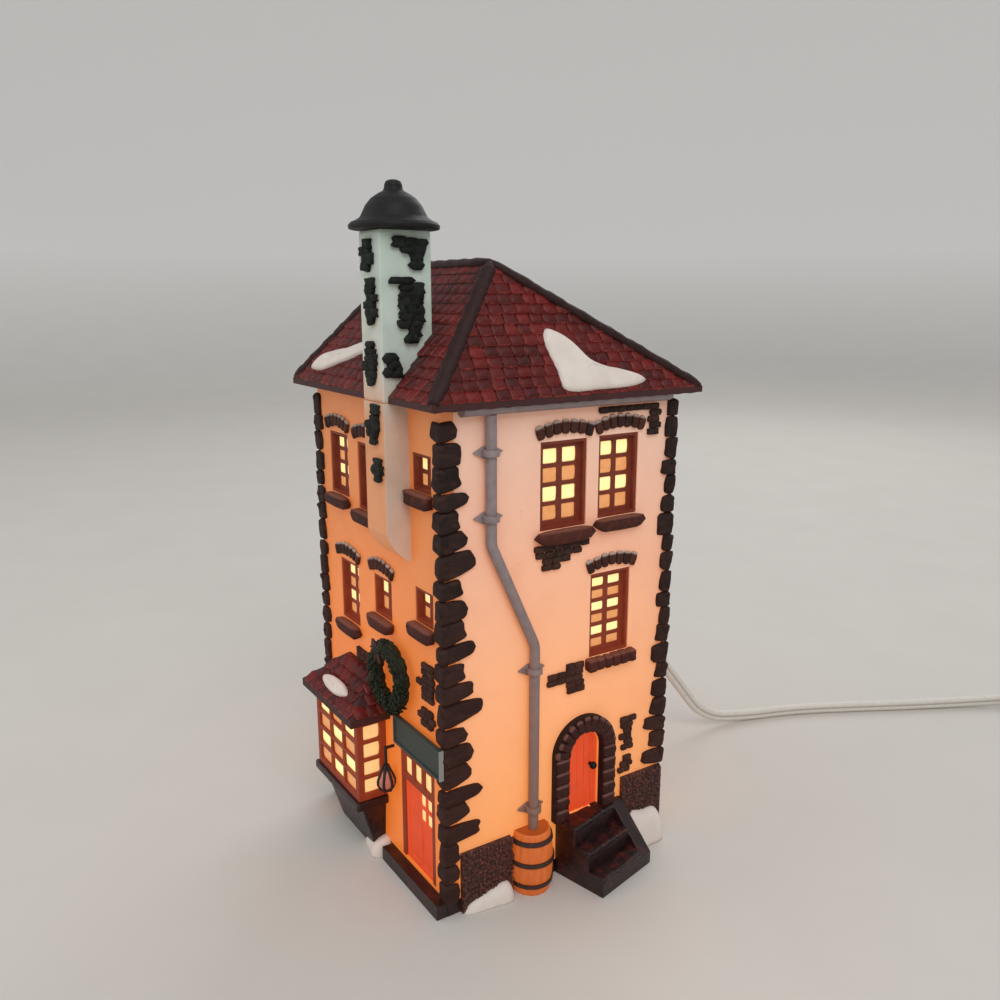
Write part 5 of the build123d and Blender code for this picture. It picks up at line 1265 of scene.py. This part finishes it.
def wreath_core():
    """A lumpy ring: a circle, with an oval section whose scale sways round it."""
    a = around(CORE_POINTS)
    line = wreath_middle + wreath_ring * spokes(a, OUT_SIDE, UPWARD)
    sway = 1 + 0.09 * np.sin(a * 11) + 0.06 * np.sin(a * 23 + 1)
    reach = wreath_tube * CORE_SHARE
    return tube(line, oval(reach, reach, CORE_SIDES), lift=(0, 1.0, 0), scale=sway, closed=True)


def leaf_frames():
    """Leaves by angle round the ring and angle round the tube, leaning forward along the ring."""
    a = rng.uniform(0, 2 * np.pi, LEAVES)
    b = rng.uniform(-0.5, np.pi + 0.5, LEAVES)
    radial, onward = spokes(a, OUT_SIDE, UPWARD), spokes(a, UPWARD, -OUT_SIDE)
    round_tube = spokes(b, radial, OUT_SHOP)
    depth = wreath_tube * rng.uniform(0.6, 0.82, LEAVES)
    middles = wreath_middle + radial * wreath_ring + round_tube * depth[:, None]
    along = unit(onward * 0.8 + round_tube * rng.uniform(0.1, 0.7, (LEAVES, 1)))
    side = unit(np.cross(round_tube, along))
    axes = np.stack([along, side, np.cross(along, side)], axis=1)
    return middles, axes, rng.uniform(*LEAF_SIZES, (LEAVES, 3)) * MM


def bow_frames():
    """Two loops, two tails and a knot: flat lumps that fan out by angle from the top of the ring."""
    knot = wreath_middle + wreath_tube * BOW_OUT * OUT_SHOP + wreath_ring * unit(BOW_AT)
    along, side = spokes(BOW_TURNS, OUT_SIDE, UPWARD), spokes(BOW_TURNS, UPWARD, -OUT_SIDE)
    axes = np.stack([along, side, np.cross(along, side)], axis=1)
    return knot + along * BOW_REACH[:, None], axes, np.array(BOW_HALVES) * MM


core = store("wreath_core", "wreath_green", *wreath_core(), hides=("wreath",))
leaves = lumps("wreath_leaves", "wreath_green", *leaf_frames(), power=0.9, wobble=0.1, sides=8, rings=4)
green = finish("wreath_green", (1.0, 3), "0D130C", "253019", (0.5, 0.25), (0.4, 0.2), by="shade", **MATT)
green.over(green.grain * 0.5, "2E2C18").wear(core, leaves)
bow = lumps("wreath_bow", "wreath_green", *bow_frames(), power=0.8, wobble=0.12, rings=8)
finish("dark_ribbon", (1.0, 3), "220A0A", "541614", (0.45, 0.2), (0.4, 0.3)).wear(bow)
print("wreath:", LEAVES, "leaves")

# %% Lantern cage
CAGE_WIRES = 6
CAGE_WIRE = 0.5 * MM
WIRE_POINTS = 30
WIRE_SIDES = 8
DROP_RADIUS = 2.7 * MM
DROP_TOP_SHARE = 9.6 / 16.4
DROP_PROFILE = [(0.1, 0.0), (0.75, 0.06), (1.06, 0.25), (1.08, 0.4), (0.8, 0.62), (0.5, 0.8), (0.24, 1.0)]
LIGHT_LOW, LIGHT_HIGH, LIGHT_FADE = 29.2 * MM, 36.2 * MM, 1 * MM
BOARD_END, BOARD_FADE = 45.8 * MM, 0.2 * MM
lantern_low, lantern_high = node_box("lantern")
drop_foot = np.array([(lantern_low[0] + lantern_high[0]) / 2, lantern_low[1] + DROP_RADIUS, lantern_low[2]])
drop_height = (lantern_high[2] - lantern_low[2]) * DROP_TOP_SHARE


def cage_wire(turn):
    """One wire down the side of the drop: the outline's radius and height, swung round the axis."""
    share, level = np.array(DROP_PROFILE).T
    t = np.linspace(0, 1, WIRE_POINTS)
    radius = np.interp(t, level, share) * DROP_RADIUS
    swing = spokes(turn, OUT_SIDE, -OUT_SHOP)
    line = drop_foot + radius[:, None] * swing + (t * drop_height)[:, None] * UPWARD
    return tube(line, oval(CAGE_WIRE, CAGE_WIRE, WIRE_SIDES), lift=swing)


wires = [cage_wire(2 * math.pi * (i + 0.25) / CAGE_WIRES) for i in range(CAGE_WIRES)]
cage = store("lantern_cage", "iron", *join(wires))
finish("cage_iron", (1.0, 4), "120C0C", "2C1C1A", (0.45, 0.3), (0.4, 0.2)).wear(cage)
lantern_painted_glow = finish("lantern_painted_glow", (2.0, 3), "A05A4A", "D08A72", (0.4, 0.2), Emission_Strength=0.6)
height = lantern_painted_glow.axis("Z")
# Painted glow: a faint pinkish emission only in the middle of the drop.
in_drop = ((LIGHT_HIGH - height) / LIGHT_FADE).clamp() * ((height - LIGHT_LOW) / LIGHT_FADE).clamp()
lantern_painted_glow.set(Emission_Color=lantern_painted_glow.mix(in_drop, color("000000"), color("6A2A1C")))
lantern_painted_glow.over(1 - in_drop, "1A1010").wear("lantern")
board = finish("sign_board", (2.0, 4, 0.6, (0.2, 1, 1)), "232A27", "454E48", (0.5, 0.25), (0.4, 0.3))
board.over(((board.axis("X") - BOARD_END) / BOARD_FADE).clamp(), "8C8A86").wear("sign_board")
print("cage:", CAGE_WIRES, "wires")

# %% [markdown]
# ## Snow
# A patch of snow is a soft pillow: its outline is a closed smooth curve through a few points on the
# slope, and its thickness falls to nothing at the outline. In polar form, a point is a share of the way
# from the middle to the outline, and the height is one minus a power of that share. A drift at a wall's
# foot is a quarter ellipse carried along the wall, wider at one end.

# %% Snow on the roofs
SNOW_THICK = 1.3 * MM
SNOW_LIFT = 1.2 * MM
SNOW_UNDER = 0.9 * MM
SNOW_AROUND = 72
SNOW_RINGS = 12
SNOW_HEART = 0.02
SIDE_SNOW = [
    (-5.4, 21.5), (0.4, 18.4), (6.3, 11.2), (14, 7.4), (22.6, 5.4), (27, 3),
    (21, 1.2), (8, 0.8), (-4.6, 1.2), (-6, 8), (-7.6, 17),
]
FRONT_SNOW = [
    (-32, 4.2), (-24, 7), (-14, 11), (-6, 15), (-9, 18), (-20, 14.5), (-30, 12.5), (-39, 9.5), (-41, 4.8),
]
BAY_SNOW = [(-10, 5), (-5, 2.9), (4, 2.7), (10, 5), (5, 7.3), (-5, 7.2)]


def closed_curve(points, count):
    """A smooth closed line through points: a Catmull-Rom blend of four neighbours."""
    p = np.asarray(points, dtype=float)
    t = np.linspace(0, len(p), count, endpoint=False)
    i = t.astype(int)
    f = (t - i)[:, None]
    a, b, c, d = (p[(i + k) % len(p)] for k in (-1, 0, 1, 2))
    return b + 0.5 * f * (c - a + f * (2 * a - 5 * b + 4 * c - d + f * (3 * (b - c) + d - a)))


def snow_pillow(outline, foot, top, along):
    """A closed pillow over an outline: rings that shrink to its middle, high inside and thin at the rim."""
    rise = unit(np.subtract(top, foot))
    out = np.cross(along, rise)
    rim = closed_curve(outline, SNOW_AROUND) * MM
    heart = rim.mean(axis=0)
    share = np.linspace(1, SNOW_HEART, SNOW_RINGS)[:, None]
    flat = heart + (rim - heart)[None] * share[..., None]
    ripple = 1 - 0.1 * np.sin(3 * around(SNOW_AROUND) + 5 * share) ** 2
    swell = SNOW_THICK * (1 - share ** 5) ** 0.5 * ripple
    level = foot + flat[..., :1] * along + flat[..., 1:] * rise
    upper = level + (swell[..., None] + SNOW_LIFT) * out
    under = level + (SNOW_LIFT - SNOW_UNDER) * out
    return closed_rings(np.concatenate([under[::-1], upper]))


roof_snow = [
    snow_pillow(SIDE_SNOW, (eave_x, 0, eave_z), (RIDGE_HALF, 0, ridge_z), -OUT_SHOP),
    snow_pillow(FRONT_SNOW, (0, -eave_y, eave_z), (0, RIDGE_Y, ridge_z), OUT_SIDE),
    snow_pillow(BAY_SNOW, (bay_x, bay_front, bay_z), (bay_x, bay_top_y, bay_high[2]), OUT_SIDE),
]
print("snow on", len(roof_snow), "slopes")

# %% Drifts on the ground
DRIFT_ARC = 16
DRIFT_LONG = 40
DRIFT_LEAST = 0.002
SIDE_FOOT = half_width + 1.6 * MM
DRIFTS = [
    ((SIDE_FOOT, -39.6 * MM, 0), (SIDE_FOOT, -21.0 * MM, 0), OUT_SIDE, 4.4, 7.4, 0.35, 1.0),
    ((SIDE_FOOT, 26.4 * MM, 0), (SIDE_FOOT, 44.2 * MM, 0), OUT_SIDE, 6.0, 14.0, 1.0, 0.85),
    ((-9.0 * MM, -half_depth, 0), (5.6 * MM, -half_depth, 0), OUT_SHOP, 7.5, 7.0, 0.6, 1.0),
]


def drift_bank(start, end, out, reach, height, share_a, share_b):
    """A quarter ellipse along a wall's foot: its scale goes from one share to another, round at the ends."""
    t = np.linspace(0, 1, DRIFT_LONG)
    scale = share_a + (share_b - share_a) * t
    scale = scale * (1 - np.abs(2 * t - 1) ** 5) ** 0.5 * (0.97 + 0.03 * np.sin(9 * t)) + DRIFT_LEAST
    a = np.linspace(0, np.pi / 2, DRIFT_ARC)
    section = np.concatenate([np.stack([np.cos(a), np.sin(a)], axis=-1), [[0, 0.5], [0, 0], [0.5, 0]]])
    section = section * np.array([reach, height]) * MM
    line = start + np.subtract(end, start) * t[:, None]
    spread = section[None] * scale[:, None, None]
    rings = line[:, None] + spread[..., :1] * out + spread[..., 1:] * UPWARD
    return closed_rings(rings, line[[0, -1]])


def outward(points, quads, triangles):
    """A closed part, with its faces turned round if its signed volume says that they point inwards."""
    fan = np.concatenate([quads[:, [0, 1, 2]], quads[:, [0, 2, 3]], triangles])
    a, b, c = (points[fan[:, k]] for k in range(3))
    turned_in = (a * np.cross(b, c)).sum() < 0
    return (points, quads[:, ::-1], triangles[:, ::-1]) if turned_in else (points, quads, triangles)


snow_parts = [outward(*part) for part in roof_snow + [drift_bank(*d) for d in DRIFTS]]
snow = store("snow", "snow", *join(snow_parts), hides=("snow_patches",))
snow_white = finish("snow_white", (1.4, 5, 0.6), "E2D6CC", None, (0.5, 0.2), (0.35, 0.4))
snow_white.over((snow_white.noise(8, 3) - 0.4).clamp(), "C4B2A6")
snow_white.glow(0.4, "6A2A0C", "200C04", "000000", 120).wear(snow)
print("snow:", count_faces(snow), "faces")

# %% [markdown]
# ## Lamp, lead and plug
# The lamp's holder, the switch and the plug are moulded plastic: white, glossy, with a faint haze of
# fine scratches in the roughness. The lead is softer and less glossy, and the groove between its two
# cores holds a little shadow and dust.

# %% Plastic, brass, steel and glass
FINE = 0.2
white_plastic = finish(
    "white_plastic", (0.6, 4, 0.6, (1, 0.2, 1)), "E4E0D8", "D6CFC2", (0.28, 0.18), (0.08, FINE),
)
white_plastic.wear("lamp_socket", "switch_body", "plug_body")
finish("wheel_plastic", (0.8, 3), "C9C4BA", "AFA99E", (0.35, 0.2), (0.1, FINE)).wear("switch_wheel")
brass = finish("brass", (1.5, 4), "B98A42", "D9B46A", (0.22, 0.25), (0.1, FINE), **METAL)
brass.wear("bulb_base", "plug_blades")
steel_lines = 0.5, 3, 0.6, (1, 0.1, 1)
steel = finish("spring_steel", steel_lines, "8E9094", "B8BABD", (0.25, 0.2), (0.1, FINE), **METAL)
steel.wear("lamp_clip")
finish("tie_black", (0.7, 3), "161616", "2C2C2C", (0.5, 0.2), (0.3, FINE)).wear("coil_tie")
bulb = finish("bulb_glass", (6, 3), "FFE9C8", "FFF6E4", (0.06, 0.08), (0.05, FINE))
bulb.set(Emission_Color=color("FFD494"), Emission_Strength=0.9).wear("bulb_glass")
lead_white = finish("lead_white", (2.5, 4), "DEDAD2", "CBC5BA", (0.4, 0.2), (0.15, FINE))
lead_white.over((1 - lead_white.attribute("groove") * 2.2).clamp() * 0.7, "8F8880").wear(lead)
print("painted", sum(1 for o in nodes.values() if o.data.materials), "solids")

# %% [markdown]
# ## Floor and light
# A plain pale floor that curves up all round into a backdrop, like a shallow bowl, so that no horizon
# shows from any side. One large soft key light, a fill, a rim and an even sky: a small house and big
# lamps keep the shadows soft, and the colours render about as they are written.

# %% Studio
FLOOR_FLAT = 1.3
FLOOR_SIDES = 96
BOWL_RADIUS = 1.6
BACKDROP_PALE = 0.3
SKY = (0.80, 0.84, 0.88, 1)
SKY_STRENGTH = 0.66
HOUSE_MIDDLE = Vector((0, 0, 0.1))
swing = np.linspace(0, np.pi / 2, 24)
bowl_r = np.concatenate([[0.001, 0.6], FLOOR_FLAT + BOWL_RADIUS * np.sin(swing)])
bowl_z = np.concatenate([[0, 0], BOWL_RADIUS * (1 - np.cos(swing))])
bowl = upright_rings(bowl_r[:, None], bowl_z, FLOOR_SIDES).reshape(-1, 3)
floor_mesh = bpy.data.meshes.new("floor")
floor_mesh.from_pydata(bowl.tolist(), [], grid_faces(len(bowl_r), FLOOR_SIDES)[:, ::-1].tolist())
floor_mesh.polygons.foreach_set("use_smooth", np.ones(len(floor_mesh.polygons), dtype=bool))
floor = bpy.data.objects.new("floor", floor_mesh)
scene.collection.objects.link(floor)
pale = Paint("pale_floor")
pale.tone = pale.mix(pale.noise(60, 3), color("C9C3BB"), color("D1CBC3"))
pale.over((pale.axis("Z") / BACKDROP_PALE).clamp(), "F4F0EB").set(Roughness=0.75).wear(floor)

world = bpy.data.worlds.new("studio")
scene.world = world
world.use_nodes = True
sky = world.node_tree.nodes["Background"]
sky.inputs["Color"].default_value = SKY
sky.inputs["Strength"].default_value = SKY_STRENGTH


def soft_lamp(name, spot, watts, size):
    """A square lamp that faces the middle of the house."""
    data = bpy.data.lights.new(name, "AREA")
    data.energy = watts
    data.size = size
    lamp = bpy.data.objects.new(name, data)
    lamp.location = spot
    lamp.rotation_euler = (HOUSE_MIDDLE - Vector(spot)).to_track_quat("-Z", "Y").to_euler()
    scene.collection.objects.link(lamp)


soft_lamp("key", (0.9, -0.35, 1.0), 7.0, 0.9)
soft_lamp("fill", (-0.5, -1.0, 0.6), 2.6, 1.0)
soft_lamp("rim", (-0.6, 0.9, 0.9), 4.0, 0.8)
print("lamps:", len(bpy.data.lights))
